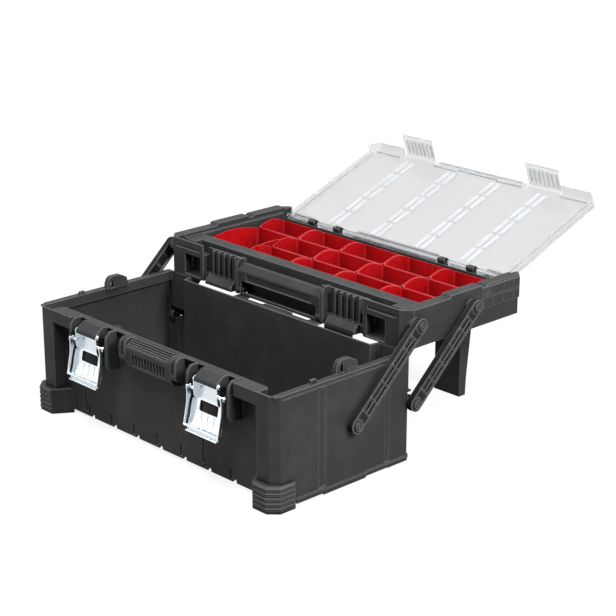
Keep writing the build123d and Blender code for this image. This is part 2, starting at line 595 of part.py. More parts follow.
def support_leg(side):
    """A flared channel leg that stands on the floor when the tray is out."""
    rear = [(LEG_FRONT_Y, 0.0), (390.0, 0.0), (391.5, 30.0), (400.0, 107.0), (405.5, 168.0),
            (405.0, 178.0), (392.0, 200.0), (389.4, 200.0), (389.4, 171.2), (LEG_FRONT_Y, 171.2)]
    leg = slice_x(rear, LEG_INNER_X, LEG_OUTER_X)
    for z0, z1 in ((WALL, 84.0), (87.0, 168.0)):
        hollow = [(LEG_FRONT_Y + WALL, z0), (420.0, z0), (420.0, z1), (LEG_FRONT_Y + WALL, z1)]
        leg -= slice_x(hollow, LEG_INNER_X + WALL, 127.5)
        leg -= slice_x(hollow, 130.5, LEG_OUTER_X - WALL)
    leg -= block(LEG_INNER_X + WALL, LEG_OUTER_X - WALL, 392.6, 420.0, 171.2, 210.0)
    return leg if side > 0 else mirrored(leg)


def carry_handle():
    """A bar with a sloped face on two cheeks, folded up against the tray's front."""
    bar = [(124.5, HANDLE_BAR_Z + 1.5), (124.5, 212.0), (126.0, 214.0), (134.0, HANDLE_TOP_Z),
           (141.0, HANDLE_TOP_Z), (141.0, HANDLE_BAR_Z + 3.0), (138.0, HANDLE_BAR_Z),
           (126.0, HANDLE_BAR_Z)]
    handle = slice_x(bar, -HANDLE_HALF_X, HANDLE_HALF_X)
    for side in (1, -1):
        x0, x1 = side * (HANDLE_HALF_X - 8.0), side * HANDLE_HALF_X
        cheek = [(124.5, HANDLE_PIVOT_Z), (124.5, 199.0), (141.0, 199.0), (138.5, HANDLE_PIVOT_Z)]
        handle += slice_x(cheek, x0, x1)
        handle += rod_x(HANDLE_PIVOT_Y, HANDLE_PIVOT_Z, 8.0, x0, x1)
    for n in range(4):
        x0 = -82.0 + 42.0 * n
        handle -= block(x0, x0 + 38.0, 130.0, 142.0, 193.0, 213.0)
    handle -= block(-74.0, 74.0, 123.0, 125.6, 197.5, 209.0)
    handle -= rod_x(HANDLE_PIVOT_Y, HANDLE_PIVOT_Z, 2.5 + RUNNING_GAP, -100.0, 100.0)
    return handle


def handle_pin(side):
    """The short pin through a cheek and the tray's ear."""
    x0, x1 = side * 82.5, side * 99.0
    pin = rod_x(HANDLE_PIVOT_Y, HANDLE_PIVOT_Z, 2.5, x0, x1)
    x0, x1 = side * 82.5, side * 84.7
    return pin + rod_x(HANDLE_PIVOT_Y, HANDLE_PIVOT_Z, 4.0, x0, x1)


def rounded_outline(x, y, half_x, half_y, radius):
    """A rectangle's plan with each corner turned in three flats."""
    points = []
    for quarter, (sx, sy) in enumerate(((1, 1), (-1, 1), (-1, -1), (1, -1))):
        for step in range(4):
            angle = math.radians(90.0 * quarter + 30.0 * step)
            points.append((x + sx * (half_x - radius) + radius * math.cos(angle),
                           y + sy * (half_y - radius) + radius * math.sin(angle)))
    return points


def tapered(x, y, low, high, radius, z0, z1):
    """A tapered block between a lower and an upper rectangle with rounded corners."""
    rings = []
    for (half_x, half_y), z in ((low, z0), (high, z1)):
        outline = rounded_outline(x, y, half_x, half_y, radius)
        rings.append(Face(Wire.make_polygon([(px, py, z) for px, py in outline])))
    return loft(rings, ruled=True)


def storage_bin(column, row, deep):
    """A lift-out bin with tapered walls whose ends rise in a curve."""
    x = BIN_PITCH_X * (column - (BIN_COLUMNS - 1) / 2)
    half_x = (BIN_PITCH_X - BIN_GAP) / 2
    half_y = (BIN_PITCH_Y * deep - BIN_GAP) / 2
    y = WELL_FRONT_Y + 1.0 + BIN_PITCH_Y * row + half_y
    top = BIN_CORNER_Z + BIN_CREST
    draft, wall = BIN_DRAFT, BIN_WALL
    bin_body = tapered(x, y, (half_x - draft, half_y - draft), (half_x, half_y), 5.0,
                       BIN_BASE_Z, top)
    bin_body -= tapered(x, y, (half_x - draft - wall, half_y - draft - wall),
                        (half_x - wall, half_y - wall), 4.0, BIN_BASE_Z + wall, top)
    steps = 10
    crest = [(y - half_y - 1 + (2 * half_y + 2) * n / steps,
              BIN_CORNER_Z - 0.2 + BIN_CREST * math.sin(math.pi * n / steps) ** 1.2)
             for n in range(steps + 1)]
    waste = [(y + half_y + 1, top + 5), (y - half_y - 1, top + 5)]
    return bin_body - slice_x(crest + waste, x - 60.0, x + 60.0)


def lid():
    """The clear lid: ribbed plate, skirts, two catch tabs and its rod, swung open."""
    x, y0 = LID_HALF_X, LID_FRONT_Y
    y1 = LID_ROD_Y - 1.0
    under = LID_TOP_Z - LID_PLATE
    outline = symmetric([(x - 14.0, y0), (x, y0 + 14.0), (x, y1)])
    inner = symmetric([(x - 15.2, y0 + 2.4), (x - 2.4, y0 + 15.2), (x - 2.4, y1 + 1)])
    plate = upright(outline, under, LID_TOP_Z)
    skirt = upright(outline, 215.5, under) - upright(inner, 210.0, under + 1)
    skirt -= block(-300, 300, y0 + 16.0, y1 + 2, 210.0, 226.8)
    skirt -= block(-HANDLE_HALF_X - 8, HANDLE_HALF_X + 8, y0 - 2, y0 + 5, 210.0, 228.5)
    plate += skirt
    for column in range(4):
        centre = -147.0 + 98.0 * column
        for cell in range(4):
            y = y0 + 26.0 + 50.0 * cell
            for row in (-5.5, 5.5):
                plate += block(centre + row - 1.6, centre + row + 1.6, y, y + 42.0,
                               under - 0.7, under)
    for side in (1, -1):
        c = side * LATCH_X
        plate -= block(c - TAB_HALF_X - 4, c + TAB_HALF_X + 4, y0 - 2, y0 + 9.0, 210.0, 235.0)
        tab = [(y0 + 9.5, LID_TOP_Z), (y0 + 2.0, LID_TOP_Z), (y0 - 1.2, LID_TOP_Z - 2.5),
               (y0 - 2.0, LID_TOP_Z - 8.0), (y0 - 2.0, 196.0), (y0 - 5.0, 193.0),
               (y0 - 5.0, 190.5), (y0 - 2.0, TAB_END_Z), (y0 + 0.4, TAB_END_Z),
               (y0 + 0.4, LID_TOP_Z - 7.0), (y0 + 3.0, under), (y0 + 9.5, under)]
        plate += slice_x(tab, c - TAB_HALF_X, c + TAB_HALF_X)
        for n in range(7):
            rx = c - 27.0 + 9.0 * n
            plate += block(rx - 1.1, rx + 1.1, y0 - 3.2, y0 - 1.5, 197.0, 222.0)
    rod = rod_x(LID_ROD_Y, LID_ROD_Z, LID_ROD_R, -240.0, 240.0)
    web = block(-240.0, 240.0, LID_ROD_Y - 1.5, LID_ROD_Y + 1.0, LID_ROD_Z, under + 1)
    web += block(-240.0, 240.0, LID_ROD_Y - 3.0, LID_ROD_Y + 1.0, under, LID_TOP_Z)
    for x in CLIP_XS:
        gap = CLIP_WIDTH / 2 + 1.5
        web -= block(x - gap, x + gap, 355.0, 380.0, LID_ROD_Z + 2.0, 240.0)
        plate -= block(x - gap, x + gap, 359.0, 380.0, LID_ROD_Z + 2.0, 240.0)
    whole = plate + web + rod
    swing = Axis((0, LID_ROD_Y, LID_ROD_Z), (1, 0, 0))
    return whole.rotate(swing, -LID_OPEN_DEG)


def main():
    """Build and write every piece."""
    os.makedirs("parts", exist_ok=True)
    save(base_bin(), "base_bin")
    save(tray(), "organiser_tray")
    save(lid(), "clear_lid")
    save(carry_handle(), "carry_handle")
    upper_z = LOWER_PIVOT_Z + ARM_RISE_Z
    for side, name in ((1, "right"), (-1, "left")):
        save(foot(side), f"front_foot_{name}")
        save(support_leg(side), f"support_leg_{name}")
        save(latch_lever(side), f"latch_lever_{name}")
        save(latch_hook(side), f"latch_hook_{name}")
        save(lever_pin(side), f"latch_lever_pin_{name}")
        save(hook_pins(side), f"latch_hook_pins_{name}")
        save(handle_pin(side), f"handle_pin_{name}")
        for end, y in (("front", FRONT_PIVOT_Y), ("rear", REAR_PIVOT_Y)):
            driven = side > 0 and end == "front"
            save(arm(side, y, RUNNING_GAP if driven else OPEN_GAP), f"{end}_arm_{name}")
            save(arm_pin(side, y, LOWER_PIVOT_Z, 262.0), f"{end}_arm_lower_pin_{name}")
            save(arm_pin(side, y + ARM_LEAN_Y, upper_z, 258.0), f"{end}_arm_upper_pin_{name}")
    for column in range(BIN_COLUMNS):
        for row, name in enumerate(("front", "middle", "rear")):
            if column == 0 and name == "middle":
                continue
            deep = 2 if column == 0 and name == "front" else 1
            save(storage_bin(column, row, deep), f"{name}_bin_{column + 1}")


main()
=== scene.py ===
"""Looks of the cantilever tool box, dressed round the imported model.

Lengths are in millimetres in every class and turned to metres on the bench.
"""

import logging
import math
from contextlib import contextmanager
from dataclasses import dataclass
from enum import Enum
from typing import Any, Callable, Iterator, Sequence

import bmesh
import bpy
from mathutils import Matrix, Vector
from mathutils.geometry import intersect_point_line


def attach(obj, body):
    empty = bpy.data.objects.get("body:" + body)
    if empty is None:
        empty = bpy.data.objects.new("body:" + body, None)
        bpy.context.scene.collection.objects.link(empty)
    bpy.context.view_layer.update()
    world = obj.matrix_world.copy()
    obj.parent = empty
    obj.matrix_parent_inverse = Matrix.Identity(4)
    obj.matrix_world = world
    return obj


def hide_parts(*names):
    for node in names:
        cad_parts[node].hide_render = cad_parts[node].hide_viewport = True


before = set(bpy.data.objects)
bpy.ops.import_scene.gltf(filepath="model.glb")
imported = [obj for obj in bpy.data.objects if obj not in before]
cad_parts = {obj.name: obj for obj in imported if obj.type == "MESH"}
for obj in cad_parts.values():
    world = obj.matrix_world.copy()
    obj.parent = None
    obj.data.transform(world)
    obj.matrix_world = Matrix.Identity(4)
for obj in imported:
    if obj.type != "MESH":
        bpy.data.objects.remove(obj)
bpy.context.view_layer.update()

logging.basicConfig(level=logging.INFO, format="%(message)s")
log = logging.getLogger("tool_box")

MM = 0.001
Point = tuple[float, float, float]
Pairs = tuple[tuple[float, float], ...]
Tree = bpy.types.NodeTree
Socket = bpy.types.NodeSocket
Test = Callable[[Vector, Vector], bool]


class Side(Enum):
    """The two ends of the box."""

    RIGHT = 1
    LEFT = -1

    @property
    def word(self) -> str:
        """The side's name as the CAD nodes spell it."""
        return self.name.lower()

    def span(self, near: float, far: float) -> tuple[float, float]:
        """The x range between two distances from the middle on this side, low end first."""
        low, high = sorted((self.value * near, self.value * far))
        return low, high


class Element(Enum):
    """What an edit-mode selection is made of."""

    VERT = "VERT"
    EDGE = "EDGE"
    FACE = "FACE"


# Node trees


def linear(code: str) -> tuple[float, float, float, float]:
    """Turns an sRGB colour to the linear values that shaders use.

    Args:
        code: Six hexadecimal digits.

    Returns:
        Red, green, blue and a full alpha.
    """
    channels = []
    for start in (0, 2, 4):
        value = int(code[start:start + 2], 16) / 255
        channels.append(value / 12.92 if value <= 0.04045 else ((value + 0.055) / 1.055) ** 2.4)
    return channels[0], channels[1], channels[2], 1.0


def add_node(tree: Tree, kind: str, settings: dict[str | int, Any] | None = None,
             links: dict[str | int, Socket] | None = None) -> bpy.types.Node:
    """Adds one node to a tree, with its settings and its incoming links.

    Args:
        tree: The material's or world's node tree.
        kind: The node's type name without the leading "ShaderNode".
        settings: Socket values by socket name or number, and the node's own properties.
        links: Sockets to link from, by the name or number of the socket they feed.

    Returns:
        The new node.
    """
    made = tree.nodes.new("ShaderNode" + kind)
    for key, value in (settings or {}).items():
        if isinstance(key, int) or key in made.inputs:
            made.inputs[key].default_value = value
        else:
            setattr(made, key, value)
    for key, source in (links or {}).items():
        tree.links.new(source, made.inputs[key])
    return made


def blank_material(name: str) -> tuple[bpy.types.Material, Tree]:
    """Makes a material with an empty node tree.

    Args:
        name: The material's name.

    Returns:
        The material and its tree.
    """
    material = bpy.data.materials.new(name)
    material.use_nodes = True
    material.node_tree.nodes.clear()
    return material, material.node_tree


def noise(tree: Tree, where: Socket, size_mm: float, detail: float,
          roughness: float = 0.5) -> Socket:
    """Adds noise whose largest spots have a real size, and returns the socket of its value."""
    settings = {"Scale": 1 / (size_mm * MM), "Detail": detail, "Roughness": roughness}
    return add_node(tree, "TexNoise", settings, {"Vector": where}).outputs[0]


def remap(tree: Tree, source: Socket, start: tuple[float, float],
          goal: tuple[float, float] = (0.0, 1.0)) -> Socket:
    """Stretches a value from one range to another, holds it there and returns its socket."""
    settings = {"From Min": start[0], "From Max": start[1], "To Min": goal[0], "To Max": goal[1]}
    return add_node(tree, "MapRange", settings, {"Value": source}).outputs[0]


def relief(tree: Tree, height: Socket, strength: float, depth_mm: float) -> Socket:
    """Turns a height from 0 to 1 into the socket of a normal, bumped to a real depth."""
    return add_node(tree, "Bump", {"Strength": strength, "Distance": depth_mm * MM},
                    {"Height": height}).outputs[0]


def tinted(tree: Tree, share: Socket, first: str, second: str) -> Socket:
    """Mixes two colours.

    Args:
        tree: The material's node tree.
        share: How much of the second colour shows.
        first: The first colour's hexadecimal digits.
        second: The second colour's.

    Returns:
        The socket of the mixed colour.
    """
    colour = add_node(tree, "Mix", {"data_type": "RGBA"}, {"Factor": share})
    colour.inputs[6].default_value = linear(first)
    colour.inputs[7].default_value = linear(second)
    return colour.outputs[2]


@dataclass(frozen=True)
class MouldedPlastic:
    """Injection-moulded thermoplastic with the spark-eroded grain of its steel mould.

    The grain breaks up highlights, and handling pales it in soft patches. Edges are lighter,
    partly as rubbed wear and partly as a painted highlight, and corners, creases and recesses
    are painted darker as shade.
    """

    name: str
    colour: str
    worn_colour: str
    roughness: float = 0.46
    # Real grain is about 0.3 mm; 1.1 mm is the finest that shows in the render.
    grain_mm: float = 1.1
    grain_depth_mm: float = 0.035
    patch_mm: float = 60.0
    # The share by which handling pales a patch.
    patch_share: float = 0.12
    # The melt's flow leaves bands of about this width that are a little more or less glossy.
    flow_mm: float = 7.0
    gloss_change: float = 0.07
    # How wide an edge is rubbed and painted with a highlight, how far the painted shade
    # of a corner or recess reaches, and how dark that painted shade is at its deepest.
    rubbed_mm: float = 2.2
    corner_mm: float = 16.0
    corner_dark: float = 0.35
    # The pits of the grain swallow most of the mirror light.
    mirror: float = 0.07

    def make(self) -> bpy.types.Material:
        """Builds the material.

        Returns:
            The finished material.
        """
        material, tree = blank_material(self.name)
        where = add_node(tree, "TexCoord").outputs["Object"]
        grain = noise(tree, where, self.grain_mm, 2.0, 0.6)
        patches = noise(tree, where, self.patch_mm, 5.0, 0.62)
        flow = noise(tree, where, self.flow_mm, 3.0)
        # Only the crests of this noise count as handled.
        handled = remap(tree, patches, (0.45, 0.75), (0.0, self.patch_share))
        # Wear patches and the painted highlight along the edges both pale the colour by this share.
        wear = add_node(tree, "Math", {"operation": "MAXIMUM"},
                        {0: handled, 1: self.rubbed_edges(tree)})
        colour = tinted(tree, wear.outputs[0], self.colour, self.worn_colour)
        # Painted shade: the colour darkens where nearby surfaces hide it, in corners, creases and
        # recesses.
        shaded = add_node(tree, "AmbientOcclusion", {"Distance": self.corner_mm * MM, "samples": 8})
        depth = remap(tree, shaded.outputs["AO"], (0.25, 0.9), (self.corner_dark, 1.0))
        deep = add_node(tree, "VectorMath", {"operation": "SCALE"}, {0: colour, "Scale": depth})
        rough = remap(tree, flow, (0.3, 0.7), (self.roughness + self.gloss_change,
                                               self.roughness - self.gloss_change))
        shader = add_node(tree, "BsdfPrincipled", {"IOR": 1.49, "Specular IOR Level": self.mirror},
                          {"Base Color": deep.outputs[0], "Roughness": rough,
                           "Normal": relief(tree, grain, 1.0, self.grain_depth_mm)})
        add_node(tree, "OutputMaterial", links={"Surface": shader.outputs[0]})
        return material

    def rubbed_edges(self, tree: Tree) -> Socket:
        """Finds the edges, where the surface turns within the rubbed width, for the rubbed wear and
        the painted highlight along them.

        Args:
            tree: The material's node tree.

        Returns:
            A socket that rises from 0 to 1 over an edge.
        """
        smoothed = add_node(tree, "Bevel", {"Radius": self.rubbed_mm * MM, "samples": 6})
        face = add_node(tree, "NewGeometry")
        agree = add_node(tree, "VectorMath", {"operation": "DOT_PRODUCT"},
                         {0: smoothed.outputs[0], 1: face.outputs["Normal"]})
        return remap(tree, agree.outputs["Value"], (0.995, 0.92))


@dataclass(frozen=True)
class ZincPlatedSteel:
    """Pressed mild steel with bright zinc plating.

    Rolling leaves fine streaks along the strip, the plating dulls in faint clouds, and both show
    as changes of gloss more than of colour.
    """

    name: str = "zinc_plated_steel"
    colour: str = "DFE4E8"
    cloud_colour: str = "C2CBD2"
    roughness: float = 0.24
    # Rolling streaks are about 0.1 mm apart; 0.5 mm shows.
    streak_mm: float = 0.5
    streak_depth_mm: float = 0.01
    cloud_mm: float = 9.0

    def make(self) -> bpy.types.Material:
        """Builds the material.

        Returns:
            The finished material.
        """
        material, tree = blank_material(self.name)
        where = add_node(tree, "TexCoord").outputs["Object"]
        strip = add_node(tree, "Mapping", {"Scale": (1.0, 0.06, 0.06)}, {"Vector": where})
        streaks = noise(tree, strip.outputs[0], self.streak_mm, 3.0)
        clouds = noise(tree, where, self.cloud_mm, 4.0)
        gloss = remap(tree, clouds, (0.3, 0.7), (self.roughness - 0.04, self.roughness + 0.06))
        shader = add_node(tree, "BsdfPrincipled", {"Metallic": 1.0},
                          {"Base Color": tinted(tree, clouds, self.colour, self.cloud_colour),
                           "Roughness": gloss,
                           "Normal": relief(tree, streaks, 0.3, self.streak_depth_mm)})
        add_node(tree, "OutputMaterial", links={"Surface": shader.outputs[0]})
        return material


@dataclass(frozen=True)
class ClearPlastic:
    """Moulded clear polycarbonate, polished or with the frosting that thick ribs show.

    Clear plate shows what is behind it a little greyer, and a frosted rib scatters light and
    reads as white.
    """

    name: str
    tint: str = "EFEFF0"
    roughness: float = 0.1
    frost: float = 0.0
    # The share of light that passes straight on, unbent.
    see_through: float = 0.6
    # Haze comes in wide clouds, and the plate ripples a little where it cooled last.
    haze_mm: float = 45.0
    ripple_mm: float = 18.0
    ripple_depth_mm: float = 0.1

    def make(self) -> bpy.types.Material:
        """Builds the material.

        Returns:
            The finished material.
        """
        material, tree = blank_material(self.name)
        where = add_node(tree, "TexCoord").outputs["Object"]
        haze = noise(tree, where, self.haze_mm, 4.0)
        rough = remap(tree, haze, (0.3, 0.7), (self.roughness * 0.6, self.roughness * 1.6))
        ripple = noise(tree, where, self.ripple_mm, 1.0)
        body = add_node(tree, "BsdfPrincipled",
                        {"Base Color": linear(self.tint), "IOR": 1.45,
                         "Transmission Weight": 1.0 - self.frost},
                        {"Roughness": rough,
                         "Normal": relief(tree, ripple, 0.25, self.ripple_depth_mm)})
        film = add_node(tree, "BsdfTransparent", {"Color": linear(self.tint)})
        skin = add_node(tree, "MixShader", {0: self.see_through},
                        {1: body.outputs[0], 2: film.outputs[0]})
        clear = add_node(tree, "BsdfTransparent", {"Color": linear("F6F7F8")})
        ray = add_node(tree, "LightPath")
        shade = add_node(tree, "MixShader", links={0: ray.outputs["Is Shadow Ray"],
                                                   1: skin.outputs[0], 2: clear.outputs[0]})
        add_node(tree, "OutputMaterial", links={"Surface": shade.outputs[0]})
        return material


@dataclass(frozen=True)
class Finish:
    """A material, and the record's material slot that it belongs to."""

    material: bpy.types.Material
    slot: str


# The bench


def deselect() -> None:
    """Lets go of every object."""
    bpy.ops.object.select_all(action="DESELECT")


class Workpiece:
    """One mesh on the bench, made from a primitive and shaped with edit-mode operators."""

    # How much of the room beside an edge its rounding may take.
    share_of_room = 0.4
    # Edges with less room than this share of the rounding stay sharp.
    least_weight = 0.15
    # Points of a CAD copy that are closer than this are merged.
    weld = 0.002
    # Faces of a CAD copy that differ by less than this are made one.
    flat_deg = 0.6

    def __init__(self, obj: bpy.types.Object) -> None:
        """Takes an object in hand.

        Args:
            obj: A mesh object whose place is in its mesh.
        """
        self.obj = obj

    @classmethod
    def adopt(cls, name: str) -> "Workpiece":
        """Names the newest primitive and puts its place into its mesh.

        Args:
            name: The piece's name.

        Returns:
            The workpiece.
        """
        obj = bpy.context.active_object
        obj.name = name
        obj.data.name = name
        bpy.ops.object.transform_apply(location=True, rotation=True, scale=True)
        return cls(obj)

    @classmethod
    def block(cls, name: str, low: Point, high: Point) -> "Workpiece":
        """Starts from a cube primitive between two corners.

        Args:
            name: The piece's name.
            low: The lowest corner.
            high: The highest corner.

        Returns:
            The workpiece.
        """
        deselect()
        middle = [(a + b) / 2 * MM for a, b in zip(low, high)]
        size = [(b - a) * MM for a, b in zip(low, high)]
        bpy.ops.mesh.primitive_cube_add(size=1, location=middle, scale=size)
        return cls.adopt(name)

    @classmethod
    def rod(cls, name: str, start: Point, reach: Point, radius: float,
            vertices: int = 48) -> "Workpiece":
        """Starts from a cylinder primitive along any line.

        Args:
            name: The piece's name.
            start: The centre of one end.
            reach: The vector to the other end.
            radius: The cylinder's radius.
            vertices: The number of facets round it.

        Returns:
            The workpiece.
        """
        deselect()
        along = Vector(reach)
        middle = (Vector(start) + along / 2) * MM
        turn = along.to_track_quat("Z", "Y").to_euler()
        bpy.ops.mesh.primitive_cylinder_add(vertices=vertices, radius=radius * MM,
                                            depth=along.length * MM, location=middle,
                                            rotation=turn)
        return cls.adopt(name)

    @classmethod
    def disc(cls, name: str, radius: float, vertices: int = 64) -> "Workpiece":
        """Starts from a filled circle primitive round the origin, in the XY plane.

        Args:
            name: The piece's name.
            radius: The circle's radius.
            vertices: The number of corners.

        Returns:
            The workpiece.
        """
        deselect()
        bpy.ops.mesh.primitive_circle_add(vertices=vertices, radius=radius * MM, fill_type="NGON")
        return cls.adopt(name)

    @classmethod
    def outline(cls, name: str, corners: Sequence[Point], reach: Point) -> "Workpiece":
        """Starts from a filled circle whose corners are moved to an outline, then extruded.

        Args:
            name: The piece's name.
            corners: The flat outline's corners in order.
            reach: The vector that it is extruded by.

        Returns:
            The workpiece.
        """
        deselect()
        bpy.ops.mesh.primitive_circle_add(vertices=len(corners), radius=MM, fill_type="NGON",
                                          location=Vector(corners[0]) * MM)
        piece = cls.adopt(name)
        with piece.editing() as shape:
            moves = [Vector(corner) - vert.co / MM for vert, corner in zip(shape.verts, corners)]
            for n, move in enumerate(moves):
                bpy.ops.mesh.select_mode(type="VERT")
                bpy.ops.mesh.select_all(action="DESELECT")
                shape.verts.ensure_lookup_table()
                shape.verts[n].select_set(True)
                piece.shift(move)
            piece.pick_all()
            piece.pull(reach)
            piece.face_outwards()
        return piece

    @classmethod
    def profile(cls, name: str, points: Sequence[tuple[float, float]], x0: float,
                x1: float) -> "Workpiece":
        """Starts from a side profile of (y, z) corners that runs from x0 to x1."""
        return cls.outline(name, [(x0, y, z) for y, z in points], (x1 - x0, 0, 0))

    @classmethod
    def sheet(cls, name: str, rows: Sequence[tuple[float, float, float]],
              thickness: float) -> "Workpiece":
        """Starts from an upright plane that is scored, bent and trimmed row by row, then thickened.

        Args:
            name: The piece's name.
            rows: For each row from the top down its y, its z and half its width.
            thickness: The sheet's thickness, laid on behind.

        Returns:
            The workpiece, centred on x = 0.
        """
        top, foot = rows[0][1], rows[-1][1]
        deselect()
        middle = (0, 0, (top + foot) / 2 * MM)
        bpy.ops.mesh.primitive_plane_add(size=2 * MM, location=middle, rotation=(math.pi / 2, 0, 0))
        piece = cls.adopt(name)
        with piece.editing():
            piece.pick_all()
            bpy.ops.transform.resize(value=(1, 1, (top - foot) / 2), center_override=middle)
            for _, z, _ in rows[1:-1]:
                piece.cut((0, 0, z), (0, 0, 1))
            for y, z, half in rows:
                piece.pick(lambda middle, normal: abs(middle.z - z) < 0.02, Element.VERT)
                bpy.ops.transform.resize(value=(half, 1, 1), center_override=(0, 0, 0))
                piece.shift((0, y, 0))
        return piece.modify("SOLIDIFY", thickness=thickness * MM, offset=-1.0,
                            use_even_offset=True)

    @classmethod
    def casting(cls, node: str, name: str) -> "Workpiece":
        """Starts from a merged copy of a CAD node, whose flat faces are made whole.

        Args:
            node: The CAD node's name.
            name: The piece's name.

        Returns:
            The workpiece.
        """
        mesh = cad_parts[node].data.copy()
        mesh.name = name
        mesh.materials.clear()
        obj = bpy.data.objects.new(name, mesh)
        bpy.context.scene.collection.objects.link(obj)
        piece = cls(obj)
        with piece.editing():
            piece.pick_all()
            bpy.ops.mesh.remove_doubles(threshold=cls.weld * MM)
            bpy.ops.mesh.dissolve_limited(angle_limit=math.radians(cls.flat_deg),
                                          delimit={"NORMAL"})
        return piece

    def hold(self) -> None:
        """Selects this piece alone and makes it the active one."""
        deselect()
        self.obj.select_set(True)
        bpy.context.view_layer.objects.active = self.obj

    @contextmanager
    def editing(self) -> Iterator[bmesh.types.BMesh]:
        """Opens the piece in edit mode and leaves it in object mode.

        Yields:
            The mesh in edit mode.
        """
        self.hold()
        bpy.ops.object.mode_set(mode="EDIT")
        try:
            yield bmesh.from_edit_mesh(self.obj.data)
        finally:
            bpy.ops.object.mode_set(mode="OBJECT")

    def pick(self, test: Test, kind: Element = Element.FACE) -> int:
        """Selects the elements that pass a test, in edit mode.

        Args:
            test: Takes an element's middle in millimetres, and its normal, or an edge's direction.
            kind: What to select.

        Returns:
            The number of elements selected.
        """
        bpy.ops.mesh.select_mode(type=kind.value)
        bpy.ops.mesh.select_all(action="DESELECT")
        shape = bmesh.from_edit_mesh(self.obj.data)
        if kind is Element.FACE:
            found = [f for f in shape.faces if test(f.calc_center_median() / MM, f.normal)]
        elif kind is Element.EDGE:
            found = [e for e in shape.edges
                     if test((e.verts[0].co + e.verts[1].co) / 2 / MM,
                             (e.verts[1].co - e.verts[0].co).normalized())]
        else:
            found = [v for v in shape.verts if test(v.co / MM, v.normal)]
        for element in found:
            element.select_set(True)
        bmesh.update_edit_mesh(self.obj.data)
        return len(found)

    @staticmethod
    def pick_all() -> None:
        """Selects the whole piece, in edit mode."""
        bpy.ops.mesh.select_all(action="SELECT")

    def face_outwards(self) -> None:
        """Turns every face of the piece outwards, in edit mode."""
        self.pick_all()
        bpy.ops.mesh.normals_make_consistent(inside=False)

    def cut(self, point: Point, normal: Point) -> None:
        """Scores the whole piece along a plane through a point, in edit mode."""
        self.pick_all()
        bpy.ops.mesh.bisect(plane_co=Vector(point) * MM, plane_no=normal)

    def pull(self, move: Point) -> None:
        """Extrudes the selection by a vector, in edit mode."""
        bpy.ops.mesh.extrude_region_move(TRANSFORM_OT_translate={"value": Vector(move) * MM})

    def shift(self, move: Point) -> None:
        """Moves the selection by a vector, in edit mode."""
        bpy.ops.transform.translate(value=Vector(move) * MM)

    def step(self, *rings: tuple[float, float]) -> None:
        """Insets the selection ring by ring, each with its width and rise, in edit mode."""
        for width, rise in rings:
            bpy.ops.mesh.inset(thickness=width * MM, depth=rise * MM)

    def round_along(self, axis: str, radius: float, segments: int) -> "Workpiece":
        """Rounds the edges that run along one axis.

        Args:
            axis: The axis, "y" or "z".
            radius: The radius of the rounding.
            segments: The number of facets across it.

        Returns:
            The workpiece itself.
        """
        with self.editing():
            self.pick(lambda middle, along: abs(getattr(along, axis)) > 0.9, Element.EDGE)
            bpy.ops.mesh.bevel(offset=radius * MM, segments=segments, affect="EDGES")
        return self

    def modify(self, kind: str, **settings: Any) -> "Workpiece":
        """Adds a modifier and applies it.

        Args:
            kind: Blender's name for the modifier.
            **settings: The modifier's properties.

        Returns:
            The workpiece itself.
        """
        self.hold()
        modifier = self.obj.modifiers.new(kind.title(), kind)
        for key, value in settings.items():
            setattr(modifier, key, value)
        bpy.ops.object.modifier_apply(modifier=modifier.name)
        return self

    def carve(self, cutters: Sequence["Workpiece"]) -> "Workpiece":
        """Takes other pieces away from this one and scraps them.

        Args:
            cutters: The pieces that are cut away.

        Returns:
            The workpiece itself.
        """
        tool = Workpiece.joined("cutter", cutters)
        self.modify("BOOLEAN", object=tool.obj, operation="DIFFERENCE", solver="EXACT",
                    use_self=True)
        bpy.data.objects.remove(tool.obj)
        return self

    @staticmethod
    def joined(name: str, pieces: Sequence["Workpiece"]) -> "Workpiece":
        """Joins several pieces in one mesh.

        Args:
            name: The joined piece's name.
            pieces: The pieces, of which the first takes in the others.

        Returns:
            The joined workpiece.
        """
        deselect()
        for piece in pieces:
            piece.obj.select_set(True)
        bpy.context.view_layer.objects.active = pieces[0].obj
        if len(pieces) > 1:
            bpy.ops.object.join()
        pieces[0].obj.name = name
        pieces[0].obj.data.name = name
        return pieces[0]

    def place(self, move: Point = (0, 0, 0), turn: Point = (0, 0, 0),
              scale: Point = (1, 1, 1)) -> "Workpiece":
        """Moves, turns and scales the piece, and puts the result into its mesh.

        Args:
            move: The shift.
            turn: Euler angles in degrees.
            scale: Factors along the axes; a negative one mirrors the piece.

        Returns:
            The workpiece itself.
        """
        self.obj.location = Vector(move) * MM
        self.obj.rotation_euler = [math.radians(angle) for angle in turn]
        self.obj.scale = scale
        self.hold()
        bpy.ops.object.transform_apply(location=True, rotation=True, scale=True)
        if scale[0] * scale[1] * scale[2] < 0:
            with self.editing():
                self.face_outwards()
        return self

    def twin(self, name: str) -> "Workpiece":
        """Copies the piece with its own mesh.

        Args:
            name: The copy's name.

        Returns:
            The copy.
        """
        copy = self.obj.copy()
        copy.data = self.obj.data.copy()
        copy.name = name
        copy.data.name = name
        bpy.context.scene.collection.objects.link(copy)
        return Workpiece(copy)

